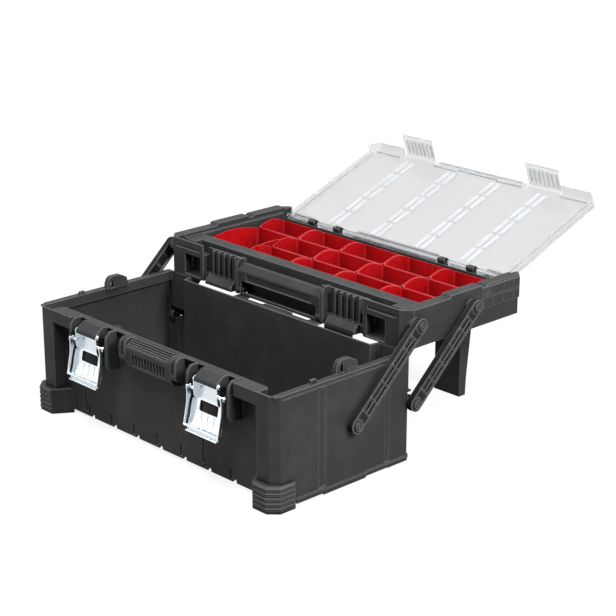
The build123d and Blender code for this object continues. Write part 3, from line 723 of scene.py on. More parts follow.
    def weigh_edges(self, width: float, angle: float) -> None:
        """Gives each sharp edge a bevel weight that its neighbours leave room for.

        Args:
            width: The full width of the rounding.
            angle: Edges under this angle in degrees get no weight.
        """
        shape = bmesh.new()
        shape.from_mesh(self.obj.data)
        layer = shape.edges.layers.float.new("bevel_weight_edge")
        room = {edge: self.room_at_ends(edge) for edge in shape.edges
                if len(edge.link_faces) == 2 and edge.calc_face_angle() > math.radians(angle)}
        reach = width * MM / self.share_of_room
        for face in shape.faces:
            edges = list(face.edges)
            for n, first in enumerate(edges):
                for second in edges[n + 1:]:
                    if first not in room and second not in room:
                        continue
                    gap = self.gap_between(first, second, reach)
                    for edge in {first, second} & room.keys():
                        room[edge] = min(room[edge], gap)
        for edge, clear in room.items():
            weight = min(self.share_of_room * clear / (width * MM), 1.0)
            edge[layer] = weight if weight > self.least_weight else 0.0
        shape.to_mesh(self.obj.data)
        shape.free()

    @staticmethod
    def room_at_ends(edge: bmesh.types.BMEdge) -> float:
        """Finds how much room the edges that meet an edge leave beside it.

        Args:
            edge: The edge that is to be rounded.

        Returns:
            The least distance, in metres.
        """
        room = edge.calc_length()
        for vert in edge.verts:
            away = (edge.other_vert(vert).co - vert.co).normalized()
            for other in vert.link_edges:
                leg = other.other_vert(vert).co - vert.co
                across = leg.cross(away).length
                straight_on = leg.dot(away) < 0 and across < 0.4 * leg.length
                if other is not edge and not straight_on:
                    room = min(room, across)
        return room

    @staticmethod
    def gap_between(first: bmesh.types.BMEdge, second: bmesh.types.BMEdge, reach: float) -> float:
        """Measures the distance between two edges of a face that don't meet.

        Args:
            first: One edge.
            second: The other edge.
            reach: The greatest distance of interest, in metres.

        Returns:
            The distance in metres, or a long one for edges that meet or lie apart.
        """
        a, b = (vert.co for vert in first.verts)
        c, d = (vert.co for vert in second.verts)
        apart = any(max(c[k], d[k]) < min(a[k], b[k]) - reach
                    or min(c[k], d[k]) > max(a[k], b[k]) + reach for k in range(3))
        if apart or set(first.verts) & set(second.verts):
            return 1.0
        gaps = []
        for point, start, end in ((a, c, d), (b, c, d), (c, a, b), (d, a, b)):
            foot, share = intersect_point_line(point, start, end)
            foot = start if share < 0 else end if share > 1 else foot
            gaps.append((point - foot).length)
        return min(gaps)

    def soften(self, width: float, segments: int = 2, angle: float = 32.0) -> "Workpiece":
        """Rounds the sharp edges and smooths the shading between them.

        Args:
            width: The width of the rounding.
            segments: The number of facets across it.
            angle: Edges under this angle in degrees are left.

        Returns:
            The workpiece itself.
        """
        self.weigh_edges(width, angle)
        self.modify("BEVEL", width=width * MM, segments=segments, limit_method="WEIGHT",
                    use_clamp_overlap=False, harden_normals=False, loop_slide=False)
        bpy.ops.object.shade_smooth_by_angle(angle=math.radians(angle + 6.0))
        return self.modify("WEIGHTED_NORMAL", keep_sharp=True, weight=60)

    def finish(self, finish: Finish, body: str, *nodes: str) -> None:
        """Dresses the piece and hangs it on its CAD body.

        Args:
            finish: Its material and slot, of which only the material is used.
            body: The CAD body that it moves with.
            *nodes: The CAD nodes that it stands for.
        """
        self.obj.data.materials.clear()
        self.obj.data.materials.append(finish.material)
        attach(self.obj, body)
        if nodes:
            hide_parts(*nodes)
        log.info("%s: %d faces, on %s", self.obj.name, len(self.obj.data.polygons), body)

    @classmethod
    def dress(cls, node: str, name: str, width: float, finish: Finish, body: str,
              segments: int = 2) -> None:
        """Puts a merged copy of a CAD node, its edges rounded, in the place of the node."""
        cls.casting(node, name).soften(width, segments).finish(finish, body, node)


class Finishes:
    """The finishes of the box, each made once."""

    def __init__(self) -> None:
        """Makes every material."""
        # Matt and dusty: the bin, the tray, the legs and the handle.
        self.shell = Finish(MouldedPlastic("moulded_polypropylene_black", "2C2C2D", "5E5F61",
                                           0.44).make(), "black_plastic")
        # Denser and deeper black, with less wear: the arms, and all pins but the latches'.
        self.link = Finish(MouldedPlastic("moulded_nylon_black", "18191A", "5E5F61", 0.38,
                                          patch_mm=35.0, patch_share=0.05).make(), "black_link")
        # Polished mould, so no grain, a clear mirror light and a deep painted shade inside the
        # bins.
        self.red = Finish(MouldedPlastic("moulded_polystyrene_red", "8C060B", "D8343A", 0.3,
                                         grain_mm=9.0, grain_depth_mm=0.001, patch_share=0.04,
                                         rubbed_mm=0.8, mirror=0.45, corner_mm=42.0,
                                         corner_dark=0.25).make(), "red_plastic")
        # The lid's thin plate, its ribs that read white, and its lines that read as darker glass.
        self.clear = Finish(ClearPlastic("moulded_polycarbonate_clear").make(), "clear_plastic")
        self.frosted = Finish(ClearPlastic("moulded_polycarbonate_frosted_rib", tint="D0D2D4",
                                           roughness=0.35, frost=0.36, see_through=0.3).make(),
                              "clear_plastic")
        self.thick = Finish(ClearPlastic("moulded_polycarbonate_seen_edge_on", tint="DCDEDF",
                                         roughness=0.15, frost=0.15, see_through=0.5).make(),
                            "clear_plastic")
        # Bright and cool: the latches.
        self.zinc = Finish(ZincPlatedSteel().make(), "zinc_steel")


# The sub-assemblies


@dataclass(frozen=True)
class Linkage:
    """The pivots of the four equal arms, in the open state of the photograph."""

    # The lower pivots, and how far the upper ones lie behind and above them.
    front_y: float = 16.8
    rear_y: float = 137.0
    lower_z: float = 91.3
    lean_y: float = 128.5
    rise_z: float = 118.0

    @property
    def ends(self) -> tuple[tuple[str, float], ...]:
        """The names of the front and rear arms, each with its lower pivot's y."""
        return ("front", self.front_y), ("rear", self.rear_y)


@dataclass
class LowerBin:
    """The deep bin that stands on the floor, and its corner feet."""

    finishes: Finishes
    edge_round: float = 0.8
    foot_round: float = 1.0
    rim_z: float = 171.0
    flange: float = 2.6
    # The flange's plan on the right of the middle, as (x, y).
    flange_half: Pairs = (
        (94.0, 114.0), (94.0, 135.0), (72.0, 135.0), (70.0, 121.5), (33.0, 121.5), (31.0, 127.5))
    # The console's lines: their number, the first one's y, their spacing, half length and radius.
    line_count: int = 4
    line_y: float = -118.6
    line_pitch: float = 3.1
    line_half: float = 46.0
    line_radius: float = 0.75
    # The slope that they lie on, and one point of it.
    slope: float = 0.72
    slope_y: float = -123.5
    slope_z: float = 166.4

    def rear_flange(self) -> Workpiece:
        """Makes the ledge behind the rear wall's rim, with its pads beside the handle.

        Returns:
            The flange.
        """
        plan = self.flange_half + tuple((-x, y) for x, y in reversed(self.flange_half))
        low = self.rim_z - self.flange
        ledge = Workpiece.outline("rear_flange", [(x, y, low) for x, y in plan],
                                  (0, 0, self.flange))
        return ledge.soften(0.6)

    def rim_tab(self, side: Side) -> Workpiece:
        """Makes the small upright tab on an end wall's rim.

        Args:
            side: The end of the box.

        Returns:
            The tab.
        """
        x0, x1 = side.span(261.5, 266.3)
        tab = Workpiece.block(f"rim_tab_{side.word}", (x0, -58.0, self.rim_z - 1.0),
                              (x1, -48.0, self.rim_z + 4.8))
        with tab.editing():
            tab.pick(lambda middle, normal: normal.z > 0.9)
            tab.step((0.8, 0.0))
            tab.shift((0, 0, 0.6))
        return tab.soften(0.5)

    def console_lines(self) -> Workpiece:
        """Makes the fine long lines on the sloped top of the block between the latches.

        Returns:
            The lines in one piece.
        """
        bars = []
        for n in range(self.line_count):
            y = self.line_y - self.line_pitch * n
            z = self.slope_z + (y - self.slope_y) * self.slope
            bars.append(Workpiece.rod("line", (-self.line_half, y, z), (2 * self.line_half, 0, 0),
                                      self.line_radius, 12))
        return Workpiece.joined("console_lines", bars)

    def build(self) -> None:
        """Builds the bin and both feet."""
        shell = self.finishes.shell
        Workpiece.dress("base_bin", "lower_bin_shell", self.edge_round, shell, "base")
        self.rear_flange().finish(shell, "base")
        self.console_lines().finish(shell, "base")
        for side in Side:
            self.rim_tab(side).finish(shell, "base")
            Workpiece.dress(f"front_foot_{side.word}", f"corner_foot_{side.word}",
                            self.foot_round, shell, "base")


@dataclass
class PivotPins:
    """The flanged pins that join the arms to the bin and the tray."""

    finishes: Finishes
    shank_radius: float = 4.0
    head_radius: float = 7.6
    head_start: float = 284.2
    head_height: float = 2.3
    lower_inner: float = 262.0
    upper_inner: float = 258.0
    linkage: Linkage = Linkage()
    # From the rim inwards: the width of each ring of the turned head, and how far it rises.
    head_rings: Pairs = (
        (1.5, 0.0), (0.35, -0.9), (1.5, 0.0), (0.35, 0.8), (1.9, 0.0), (0.3, -0.6))
    rim_round: float = 0.9

    def pin(self, inner: float) -> Workpiece:
        """Makes one pin along X, its axis through the origin.

        Args:
            inner: Where the shank ends inside.

        Returns:
            The pin.
        """
        shank = Workpiece.rod("shank", (inner, 0, 0), (self.head_start - inner, 0, 0),
                              self.shank_radius, 32)
        head = Workpiece.rod("head", (self.head_start, 0, 0), (self.head_height, 0, 0),
                             self.head_radius, 48)
        outer = self.head_start + self.head_height
        with head.editing():
            head.pick(lambda middle, normal: normal.x > 0.9)
            head.step(*self.head_rings)
            head.pick(lambda middle, along: abs(middle.x - outer) < 0.01
                      and math.hypot(middle.y, middle.z) > self.head_radius - 0.3, Element.EDGE)
            bpy.ops.mesh.bevel(offset=self.rim_round * MM, segments=4, affect="EDGES")
        return Workpiece.joined("pin", [shank, head])

    def build(self) -> None:
        """Builds the eight pins."""
        low, high = self.linkage.lower_z, self.linkage.lower_z + self.linkage.rise_z
        levels = (("lower", self.lower_inner, 0.0, low, "base"),
                  ("upper", self.upper_inner, self.linkage.lean_y, high, "tray"))
        for level, inner, shift, z, body in levels:
            master = self.pin(inner).soften(0.2, 2, 40)
            for side in Side:
                for end, y in self.linkage.ends:
                    node = f"{end}_arm_{level}_pin_{side.word}"
                    pin = master.twin(f"pivot_{end}_{level}_{side.word}")
                    pin.place((0, y + shift, z), scale=(side.value, 1, 1))
                    pin.finish(self.finishes.link, body, node)
            bpy.data.objects.remove(master.obj)


@dataclass
class SwingArms:
    """The four cantilever arms, with a raised border and a ladder of slots outside."""

    finishes: Finishes
    inner_x: float = 273.5
    thickness: float = 10.5
    radius: float = 11.5
    bore: float = 4.3
    border: float = 2.4
    recess: float = 0.7
    rib_shares: tuple[float, ...] = (0.126, 0.25, 0.417, 0.583, 0.75, 0.874)
    slot_row: float = 3.9
    slot_width: float = 3.7
    slot_depth: float = 6.0
    slot_corner: float = 1.1
    rib: float = 3.0
    # The hollow behind the slots leaves these walls beside it, and reaches this deep.
    hollow_side: float = 3.4
    hollow_end: float = 1.2
    hollow_depth: float = 2.6
    # The cross ribs stand this far proud of the border, and the spine stays below it.
    rib_proud: float = 0.35
    rib_half: float = 0.7
    spine_sunk: float = 0.2
    spine_half: float = 1.15
    ring_radius: float = 10.3
    ring_width: float = 1.5
    linkage: Linkage = Linkage()

    def blank(self, length: float) -> Workpiece:
        """Makes the arm's solid with rounded ends and a sunk face.

        Args:
            length: The distance between the pivots.

        Returns:
            The blank, along X from the lower pivot, its outer face up.
        """
        body = Workpiece.disc("arm", self.radius)
        with body.editing():
            body.pick(lambda middle, normal: middle.x > 0.01, Element.VERT)
            body.shift((length, 0, 0))
            body.pick_all()
            body.pull((0, 0, self.thickness))
            body.face_outwards()
            body.pick(lambda middle, normal: normal.z > 0.9)
            body.step((self.border, 0.0), (0.5, -self.recess))
            body.pick(lambda middle, normal: normal.z < -0.9)
            body.step((2.2, 0.0), (0.3, -1.2))
        return body

    def cutters(self, length: float) -> list[Workpiece]:
        """Makes the bores, the two rows of slots and the hollows behind them.

        Args:
            length: The distance between the pivots.

        Returns:
            The pieces to cut away.
        """
        top = self.thickness
        made = [Workpiece.rod("bore", (x, 0, -5), (0, 0, 30), self.bore, 40)
                for x in (0.0, length)]
        ribs = [share * length for share in self.rib_shares]
        for x0, x1 in zip(ribs, ribs[1:]):
            for row in (-self.slot_row, self.slot_row):
                half = self.slot_width / 2
                slot = Workpiece.block(
                    "slot", (x0 + self.rib / 2, row - half, top - self.slot_depth),
                    (x1 - self.rib / 2, row + half, top + 5))
                made.append(slot.round_along("z", self.slot_corner, 4))
            reach = self.radius - self.hollow_side
            made.append(Workpiece.block("hollow", (x0 + self.hollow_end, -reach, -5),
                                        (x1 - self.hollow_end, reach, self.hollow_depth)))
        return made

    def webs(self, length: float) -> Workpiece:
        """Makes the proud cross ribs, the spine and the ring round each pivot.

        Args:
            length: The distance between the pivots.

        Returns:
            The ribs and rings in one piece.
        """
        top = self.thickness
        reach = self.radius - 1.1
        ribs = [share * length for share in self.rib_shares]
        root = top - 3.0
        made = [Workpiece.block("rib", (x - self.rib_half, -reach, root),
                                (x + self.rib_half, reach, top + self.rib_proud)) for x in ribs]
        made.append(Workpiece.block("spine", (ribs[0], -self.spine_half, root),
                                    (ribs[-1], self.spine_half, top - self.spine_sunk)))
        for x in (0.0, length):
            ring = Workpiece.rod("ring", (x, 0, top - 2.0), (0, 0, 2.1), self.ring_radius, 56)
            with ring.editing():
                ring.pick(lambda middle, normal: abs(normal.z) > 0.9)
                ring.step((self.ring_width, 0.0))
                bpy.ops.mesh.bridge_edge_loops()
            made.append(ring)
        return Workpiece.joined("webs", made).soften(0.35, 2, 35)

    def build(self) -> None:
        """Builds the four arms."""
        linkage = self.linkage
        length = math.hypot(linkage.lean_y, linkage.rise_z)
        lean = math.degrees(math.atan2(linkage.rise_z, linkage.lean_y))
        body = self.blank(length).carve(self.cutters(length)).soften(0.5, 2, 35)
        master = Workpiece.joined("arm", [body, self.webs(length)])
        # Local X becomes the arm's own direction in the YZ plane, and local Z becomes +X.
        master.place(turn=(0, 0, lean))
        master.place(turn=(90, 0, 90))
        for side in Side:
            for end, y in linkage.ends:
                node = f"{end}_arm_{side.word}"
                arm = master.twin(f"swing_arm_{end}_{side.word}")
                arm.place((side.value * self.inner_x, y, linkage.lower_z),
                          scale=(side.value, 1, 1))
                arm.finish(self.finishes.link, f"{node}_link", node)
        bpy.data.objects.remove(master.obj)


@dataclass
class OrganiserTray:
    """The tray with its trough, catches and clips, the two legs and the handle's pins."""

    finishes: Finishes
    edge_round: float = 0.6
    leg_round: float = 0.8
    pin_round: float = 0.3

    def build(self) -> None:
        """Builds the tray, its legs and the handle's pins."""
        shell, link = self.finishes.shell, self.finishes.link
        Workpiece.dress("organiser_tray", "organiser_tray_shell", self.edge_round, shell, "tray")
        for side in Side:
            word = side.word
            Workpiece.dress(f"support_leg_{word}", f"leg_{word}", self.leg_round, shell, "tray")
            Workpiece.dress(f"handle_pin_{word}", f"handle_pivot_{word}", self.pin_round, link,
                            "tray")


@dataclass
class CarryHandle:
    """The fold-out bar on the tray's front."""

    finishes: Finishes
    edge_round: float = 1.2

    def build(self) -> None:
        """Builds the handle."""
        Workpiece.dress("carry_handle", "fold_out_handle", self.edge_round, self.finishes.shell,
                        "handle", 3)


@dataclass
class StorageBins:
    """The lift-out bins: thin tapered walls with rounded corners, crested ends and a rolled rim."""

    finishes: Finishes
    columns: int = 5
    pitch_x: float = 98.0
    pitch_y: float = 60.2
    gap: float = 0.8
    front_y: float = 185.0
    base_z: float = 174.9
    corner_z: float = 213.8
    crest: float = 8.0
    draft: float = 3.0
    corner_radius: float = 5.5
    foot_radius: float = 2.4
    wall: float = 1.7
    rim_roll: float = 1.5
    crest_steps: int = 14

    def bin(self, deep: int) -> Workpiece:
        """Makes one bin with its floor's centre over the origin.

        Args:
            deep: How many rows it takes up.

        Returns:
            The bin.
        """
        half_x = (self.pitch_x - self.gap) / 2
        half_y = (self.pitch_y * deep - self.gap) / 2
        shell = Workpiece.block("bin", (-half_x, -half_y, self.base_z),
                                (half_x, half_y, self.corner_z))
        foot = ((half_x - self.draft) / half_x, (half_y - self.draft) / half_y, 1.0)
        with shell.editing():
            shell.pick(lambda middle, normal: normal.z > 0.9)
            bpy.ops.mesh.delete(type="FACE")
            shell.pick(lambda middle, along: abs(along.z) > 0.9, Element.EDGE)
            bpy.ops.mesh.bevel(offset=self.corner_radius * MM, segments=6, affect="EDGES")
            shell.pick(lambda middle, normal: middle.z < self.base_z + 0.1, Element.VERT)
            bpy.ops.transform.resize(value=foot)
            shell.pick(lambda middle, along: middle.z < self.base_z + 0.1, Element.EDGE)
            bpy.ops.mesh.bevel(offset=self.foot_radius * MM, segments=4, affect="EDGES")
            for n in range(1, self.crest_steps):
                shell.cut((0, -half_y + 2 * half_y * n / self.crest_steps, 0), (0, 1, 0))
            for n in range(self.crest_steps + 1):
                self.lift_rim(shell, -half_y + 2 * half_y * n / self.crest_steps, half_y)
        shell.modify("SOLIDIFY", thickness=self.wall * MM, offset=-1.0, use_even_offset=True)
        return shell.soften(self.rim_roll, 4, 40)

    def lift_rim(self, shell: Workpiece, y: float, half_y: float) -> None:
        """Raises the rim points near one line to the crest's curve, in edit mode.

        Args:
            shell: The bin in hand.
            y: The line's place.
            half_y: Half the bin's depth.
        """
        reach = half_y / self.crest_steps
        share = min(max((y + half_y) / (2 * half_y), 0.0), 0.999)
        rise = self.crest * math.sin(math.pi * share) ** 1.2
        # A point that has been raised no longer passes the second test.
        if shell.pick(lambda middle, normal: abs(middle.y - y) < reach
                      and abs(middle.z - self.corner_z) < 0.00005, Element.VERT):
            shell.shift((0, 0, rise + 0.0002))

    def build(self) -> None:
        """Builds the fourteen bins."""
        masters = {deep: self.bin(deep) for deep in (1, 2)}
        for column in range(self.columns):
            for row, word in enumerate(("front", "middle", "rear")):
                if column == 0 and word == "middle":
                    continue
                deep = 2 if column == 0 and word == "front" else 1
                node = f"{word}_bin_{column + 1}"
                half_y = (self.pitch_y * deep - self.gap) / 2
                x = self.pitch_x * (column - (self.columns - 1) / 2)
                piece = masters[deep].twin(f"red_{word}_{column + 1}")
                piece.place((x, self.front_y + self.pitch_y * row + half_y, 0))
                piece.finish(self.finishes.red, node.replace("bin", "box"), node)
        for master in masters.values():
            bpy.data.objects.remove(master.obj)


@dataclass
class ClearLid:
    """The clear lid, the ribs that stiffen its plate, and its borders and hinge band."""

    finishes: Finishes
    edge_round: float = 0.45
    bar_round: float = 0.7
    rib_row: float = 6.8
    rib_half: float = 3.3
    cells: int = 5
    cell_pitch: float = 41.5
    tab_x: float = 138.0
    hinge_y: float = 370.4
    hinge_z: float = 223.0
    open_deg: float = 159.0
    under_z: float = 228.9
    front_y: float = 133.5
    # How far ribs, lines and bands reach below the plate's underside, and up into the plate.
    rib_depth: float = 1.3
    line_depth: float = 2.4
    band_depth: float = 2.2
    root: float = 0.3
    columns: int = 4
    column_pitch: float = 98.0
    cell_gap: float = 5.5
    # How far behind the front edge the ribs and side lines, the border and the edge line start.
    ribs_start: float = 18.0
    border_start: float = 12.5
    edge_start: float = 0.4
    line_width: float = 1.5
    side_x: float = 236.5
    side_end_y: float = 360.0
    # The middle of the border lies further forward.
    jog: float = 3.5
    jog_half: float = 44.0
    edge_half: float = 92.0
    band_y: tuple[float, float] = (361.5, 367.5)
    # The stretches of X that the front border's long lines and the hinge band take up.
    front_lines: Pairs = (
        (-98.0, -44.0), (44.0, 98.0), (-234.0, -178.0), (178.0, 234.0))
    bands: Pairs = (
        (-238.0, -188.0), (-168.0, -128.0), (-108.0, 108.0), (128.0, 168.0), (188.0, 238.0))
    tab_ribs: int = 7
    tab_rib_pitch: float = 9.0
    tab_rib_half: float = 1.3

    def bar(self, low: Point, high: Point) -> Workpiece:
        """Makes one rounded bar between two corners on the closed lid."""
        return Workpiece.block("bar", low, high).round_along("z", self.bar_round, 4)

    def plate_ribs(self) -> Workpiece:
        """Makes the frosted pairs of ribs that run from the hinge to the front.

        Returns:
            The ribs in one piece.
        """
        bars = []
        z0, z1 = self.under_z - self.rib_depth, self.under_z + self.root
        for column in range(self.columns):
            centre = self.column_pitch * (column - (self.columns - 1) / 2)
            for row in (-self.rib_row, self.rib_row):
                x0, x1 = centre + row - self.rib_half, centre + row + self.rib_half
                for cell in range(self.cells):
                    start = self.front_y + self.ribs_start + self.cell_pitch * cell
                    bars.append(self.bar((x0, start, z0),
                                         (x1, start + self.cell_pitch - self.cell_gap, z1)))
        return Workpiece.joined("lid_ribs", bars).soften(0.3, 2, 35)

    def thick_edges(self) -> Workpiece:
        """Makes the border lines and the tabs' upright ribs, which read darker.

        Returns:
            The lines in one piece.
        """
        z0, z1 = self.under_z - self.line_depth, self.under_z + self.root
        rows = [(x0, x1, self.border_start) for x0, x1 in self.front_lines]
        rows += [(-self.jog_half, self.jog_half, self.border_start - self.jog),
                 (-self.edge_half, self.edge_half, self.edge_start)]
        bars = [self.bar((x0, self.front_y + y, z0), (x1, self.front_y + y + self.line_width, z1))
                for x0, x1, y in rows]
        for side in Side:
            x0, x1 = side.span(self.side_x, self.side_x + self.line_width)
            bars.append(self.bar((x0, self.front_y + self.ribs_start, z0),
                                 (x1, self.side_end_y, z1)))
            for n in range(self.tab_ribs):
                x = side.value * self.tab_x + self.tab_rib_pitch * (n - (self.tab_ribs - 1) / 2)
                bars.append(self.bar((x - self.tab_rib_half, self.front_y - 4.2, 199.5),
                                     (x + self.tab_rib_half, self.front_y - 1.6, 224.0)))
        return Workpiece.joined("lid_lines", bars).soften(0.4, 2, 35)

    def hinge_band(self) -> Workpiece:
        """Makes the bright band that runs along the hinge between the clips.

        Returns:
            The band in one piece.
        """
        (y0, y1), z0, z1 = self.band_y, self.under_z - self.band_depth, self.under_z + self.root
        bars = [self.bar((x0, y0, z0), (x1, y1, z1)) for x0, x1 in self.bands]
        return Workpiece.joined("lid_hinge_band", bars).soften(0.6, 3, 35)

    def swing(self, piece: Workpiece) -> Workpiece:
        """Turns a piece drawn on the closed lid to the open lid.

        Args:
            piece: The piece on the closed lid.

        Returns:
            The same piece.
        """
        piece.place((0, -self.hinge_y, -self.hinge_z))
        piece.place(turn=(-self.open_deg, 0, 0))
        return piece.place((0, self.hinge_y, self.hinge_z))

    def build(self) -> None:
        """Builds the lid and its ribs."""
        finishes = self.finishes
        Workpiece.dress("clear_lid", "clear_lid_shell", self.edge_round, finishes.clear, "lid")
        for piece, finish in ((self.plate_ribs(), finishes.frosted),
                              (self.thick_edges(), finishes.thick),
                              (self.hinge_band(), finishes.frosted)):
            self.swing(piece).finish(finish, "lid")


@dataclass
class LatchSet:
    """A latch: a pressed lever on its pin, and a hanging hook on two rivets."""

    finishes: Finishes
    centre_x: float = 138.0
    pivot_y: float = -136.0
    pivot_z: float = 157.0
    hook_z: float = 142.0
    steel: float = 1.3
    bore: float = 2.06
    # The plate's rows from its top edge down: y, z and half the width.
    plate_rows: tuple[Point, ...] = (
        (-129.8, 151.0, 25.0), (-129.9, 149.6, 25.7), (-130.3, 145.0, 25.7), (-131.4, 132.0, 25.9),
        (-131.8, 129.0, 27.2), (-132.3, 126.6, 29.6), (-132.8, 124.4, 31.6), (-133.4, 121.5, 32.8),
        (-134.2, 118.0, 33.0), (-136.0, 109.5, 33.0), (-138.0, 100.0, 33.0), (-140.4, 93.6, 33.0),
        (-143.0, 88.0, 33.0), (-145.6, 83.4, 33.0), (-149.0, 80.0, 33.0))
    window_low_z: float = 110.3
    window_high_z: float = 125.7
    window_half_x: float = 19.7
    window_corner: float = 2.6
    ridge_xs: tuple[float, ...] = (-13.0, 0.0, 13.0)
    ridge_proud: float = 1.1
    lip_radius: float = 1.5
    plate_half: float = 33.0
    # Side outlines as (y, z): the edge turned forward along the plate, and the upright ear.
    turned_edge: Pairs = (
        (-131.6, 125.0), (-135.4, 126.2), (-137.6, 121.0), (-142.0, 101.0), (-146.0, 88.6),
        (-147.6, 82.6), (-145.4, 82.8), (-142.4, 88.4), (-137.4, 100.0))
    ear_x: float = 25.7
    ear: Pairs = (
        (-128.6, 151.0), (-130.0, 155.0), (-131.0, 160.0), (-133.2, 162.0), (-136.6, 162.6),
        (-139.4, 161.0), (-140.8, 157.6), (-140.8, 150.0), (-141.0, 141.0), (-140.0, 133.0),
        (-137.6, 127.8), (-131.6, 127.4), (-130.6, 130.0))
    # The hook: its arms' outer faces, their thickness, and its round bar.
    hook_half: float = 37.6
    hook_steel: float = 2.0
    bar_radius: float = 2.1
    pin_round: float = 0.3

    def plate(self) -> Workpiece:
        """Makes the lever's bent plate with its window, ridges and rolled lower lip.

        Returns:
            The plate, centred on x = 0.
        """
        plate = Workpiece.sheet("plate", self.plate_rows, self.steel)
        window = Workpiece.block("window", (-self.window_half_x, -160.0, self.window_low_z),
                                 (self.window_half_x, -110.0, self.window_high_z))
        plate.carve([window.round_along("y", self.window_corner, 5)])
        pieces = [plate.soften(0.45, 3, 50)]
        # A ridge is narrower on the first and last rows that it crosses.
        rows = [(y - self.ridge_proud, z, 1.5 if 88.0 < z < 108.0 else 0.9)
                for y, z, _ in self.plate_rows if 84.0 <= z <= 109.6]
        for x in self.ridge_xs:
            ridge = Workpiece.sheet("ridge", rows, 1.5).soften(0.4, 3, 40)
            pieces.append(ridge.place((x, 0, 0)))
        lip = Workpiece.rod("lip", (-self.plate_half, -149.2, 80.6),
                            (2 * self.plate_half, 0, 0), self.lip_radius, 24)
        pieces.append(lip.soften(0.5, 2, 50))
        for side in Side:
            edge = Workpiece.profile("turned_edge", self.turned_edge,
                                     *side.span(self.plate_half - self.steel, self.plate_half))
            pieces.append(edge.soften(0.3, 2, 40))
        return Workpiece.joined("plate", pieces)

    def ears(self) -> Workpiece:
        """Makes the lever's two upright side flanges, bored for the pin and the rivets.

        Returns:
            The flanges in one piece.
        """
        pieces = []
        for side in Side:
            x0, x1 = side.span(self.ear_x - self.steel, self.ear_x)
            ear = Workpiece.profile("ear", self.ear, x0, x1)
            bores = [Workpiece.rod("bore", (x0 - 3, self.pivot_y, z), (8, 0, 0), self.bore, 32)
                     for z in (self.pivot_z, self.hook_z)]
            pieces.append(ear.carve(bores).soften(0.35, 2, 40))
        return Workpiece.joined("ears", pieces)

    def hook(self) -> Workpiece:
        """Makes the hanging hook: two flat arms with a cradle round each rivet, and a round bar.

        Returns:
            The hook, centred on x = 0.
        """
        y, z = self.pivot_y, self.hook_z
        foot_y, foot_z = y - 13.0, z - 53.5
        outline = [(y - 4.9, z), (y - 4.4, z + 3.0), (y - 6.6, z + 5.4), (y - 8.2, z + 4.2),
                   (y - 8.6, z + 0.6), (y - 7.4, z - 4.6), (y - 8.4, z - 22.0),
                   (foot_y - 2.0, foot_z - 0.4), (foot_y + 2.2, foot_z - 0.6), (y - 3.4, z - 22.0),
                   (y + 2.6, z - 6.0), (y + 4.9, z), (y + 3.4, z + 3.5), (y, z + 4.9),
                   (y - 3.4, z + 3.4)]
        bar = Workpiece.rod("bar", (-self.hook_half, foot_y, foot_z),
                            (2 * self.hook_half, 0, 0), self.bar_radius, 32)
        pieces = [bar.soften(0.4, 2, 50)]
        for side in Side:
            x0, x1 = side.span(self.hook_half - self.hook_steel, self.hook_half)
            arm = Workpiece.profile("arm", outline, x0, x1)
            arm.carve([Workpiece.rod("bore", (x0 - 3, y, z), (8, 0, 0), self.bore, 32)])
            pieces.append(arm.soften(0.55, 3, 40))
        return Workpiece.joined("hook", pieces)

    def build(self) -> None:
        """Builds both latches."""
        lever = Workpiece.joined("lever", [self.plate(), self.ears()])
        hook = self.hook()
        zinc = self.finishes.zinc
        for side in Side:
            x, word = side.value * self.centre_x, side.word
            for master, kind in ((lever, "lever"), (hook, "hook")):
                piece = master.twin(f"latch_{kind}_{word}_pressed").place((x, 0, 0))
                piece.finish(zinc, f"{kind}_{word}", f"latch_{kind}_{word}")
            for node, name, body in (("latch_hook_pins", "latch_rivets", f"lever_{word}"),
                                     ("latch_lever_pin", "latch_pin", "base")):
                Workpiece.dress(f"{node}_{word}", f"{name}_{word}", self.pin_round, zinc, body)
        for master in (lever, hook):
            bpy.data.objects.remove(master.obj)


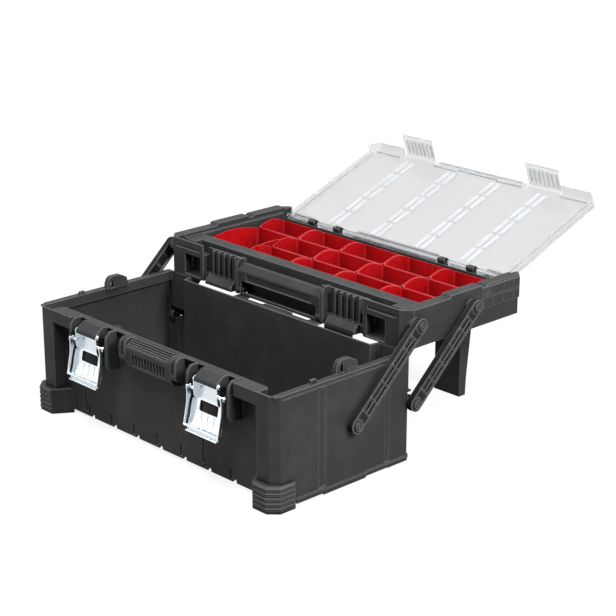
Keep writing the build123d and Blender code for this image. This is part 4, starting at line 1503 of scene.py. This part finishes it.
@dataclass
class Studio:
    """The pale floor, the lamps and the camera."""

    camera_at: Point = (1893.67, -1611.78, 1054.62)
    camera_yaw: float = 46.44
    camera_pitch: float = 18.97
    focal_mm: float = 102.93
    sensor_mm: float = 36.0
    # Each lamp's name, place and edge in metres, and power in watts: a key from the right, a
    # softer one from above, and a weak card that lifts the shaded front.
    lamps: tuple[tuple[str, Point, float, float], ...] = (
        ("key", (2.7, 0.0, 2.1), 1.1, 185.0), ("top", (0.3, -0.9, 2.8), 1.4, 140.0),
        ("card", (-1.3, -1.75, 0.5), 0.9, 8.0))
    # The point that they face, in metres.
    middle: Point = (0.0, 0.15, 0.12)
    # The strength of the surroundings as a light; as a background they are plain white.
    room: float = 0.14

    def camera(self) -> None:
        """Sets the camera at the photograph's place."""
        data = bpy.data.cameras.new("camera")
        data.lens = self.focal_mm
        data.sensor_width = self.sensor_mm
        data.sensor_fit = "HORIZONTAL"
        data.clip_end = 50.0
        camera = bpy.data.objects.new("camera", data)
        camera.location = Vector(self.camera_at) * MM
        camera.rotation_euler = (math.radians(90 - self.camera_pitch), 0,
                                 math.radians(self.camera_yaw))
        bpy.context.scene.collection.objects.link(camera)
        bpy.context.scene.camera = camera

    @staticmethod
    def seen_directly(tree: Tree) -> Socket:
        """Tells the rays that show the background from those that light the object.

        Args:
            tree: The node tree that asks.

        Returns:
            A socket that is 1 for camera, glossy and transmission rays.
        """
        ray = add_node(tree, "LightPath")
        some = add_node(tree, "Math", {"operation": "MAXIMUM"},
                        {0: ray.outputs["Is Camera Ray"], 1: ray.outputs["Is Transmission Ray"]})
        every = add_node(tree, "Math", {"operation": "MAXIMUM"},
                         {0: some.outputs[0], 1: ray.outputs["Is Glossy Ray"]})
        return every.outputs[0]

    def floor(self) -> None:
        """Lays a pale floor that keeps the object's shadow."""
        deselect()
        bpy.ops.mesh.primitive_plane_add(size=60)
        plane = bpy.context.active_object
        plane.name = "studio_floor"
        # Just under the feet, so that no faces coincide.
        plane.location.z = -0.4 * MM
        material, tree = blank_material("pale_floor")
        seen = self.seen_directly(tree)
        paper = add_node(tree, "BsdfDiffuse", {"Color": linear("707070")})
        veil = add_node(tree, "BsdfDiffuse", {"Color": linear("5A5A5A")})
        where = add_node(tree, "TexCoord").outputs["Object"]
        away = add_node(tree, "VectorMath", {"operation": "LENGTH"}, {0: where})
        # Near the object its shadow shows, and from a few metres on the floor is plain white.
        bright = remap(tree, away.outputs["Value"], (0.6, 3.5), (0.88, 1.0))
        glow = add_node(tree, "Emission", {"Color": (1, 1, 1, 1)}, {"Strength": bright})
        both = add_node(tree, "AddShader", links={0: veil.outputs[0], 1: glow.outputs[0]})
        mix = add_node(tree, "MixShader", links={0: seen, 1: paper.outputs[0],
                                                 2: both.outputs[0]})
        add_node(tree, "OutputMaterial", links={"Surface": mix.outputs[0]})
        plane.data.materials.append(material)

    def lamp(self, name: str, place: Point, size: float, power: float) -> None:
        """Hangs one square soft lamp that faces the middle of the box.

        Args:
            name: The lamp's name.
            place: Where it hangs, in metres.
            size: Its edge in metres.
            power: Its power in watts.
        """
        data = bpy.data.lights.new(name, "AREA")
        data.shape = "SQUARE"
        data.size = size
        data.energy = power
        lamp = bpy.data.objects.new(name, data)
        lamp.location = place
        line = Vector(self.middle) - Vector(place)
        lamp.rotation_euler = line.to_track_quat("-Z", "Y").to_euler()
        bpy.context.scene.collection.objects.link(lamp)

    def light(self) -> None:
        """Hangs the lamps and sets the pale surroundings."""
        for name, place, size, power in self.lamps:
            self.lamp(name, place, size, power)
        world = bpy.data.worlds.new("studio_world")
        bpy.context.scene.world = world
        world.use_nodes = True
        tree = world.node_tree
        tree.nodes.clear()
        seen = self.seen_directly(tree)
        room = add_node(tree, "Background", {"Color": (1, 1, 1, 1), "Strength": self.room})
        white = add_node(tree, "Background", {"Color": (1, 1, 1, 1), "Strength": 1.0})
        mix = add_node(tree, "MixShader", links={0: seen, 1: room.outputs[0],
                                                 2: white.outputs[0]})
        add_node(tree, "OutputWorld", links={"Surface": mix.outputs[0]})

    def build(self) -> None:
        """Sets the whole studio."""
        self.camera()
        self.floor()
        self.light()
        bpy.context.scene.view_settings.view_transform = "Standard"


def main() -> None:
    """Builds every sub-assembly."""
    Studio().build()
    finishes = Finishes()
    for part in (LowerBin, PivotPins, SwingArms, OrganiserTray, CarryHandle, StorageBins,
                 ClearLid, LatchSet):
        part(finishes).build()


if __name__ == "__main__":
    main()
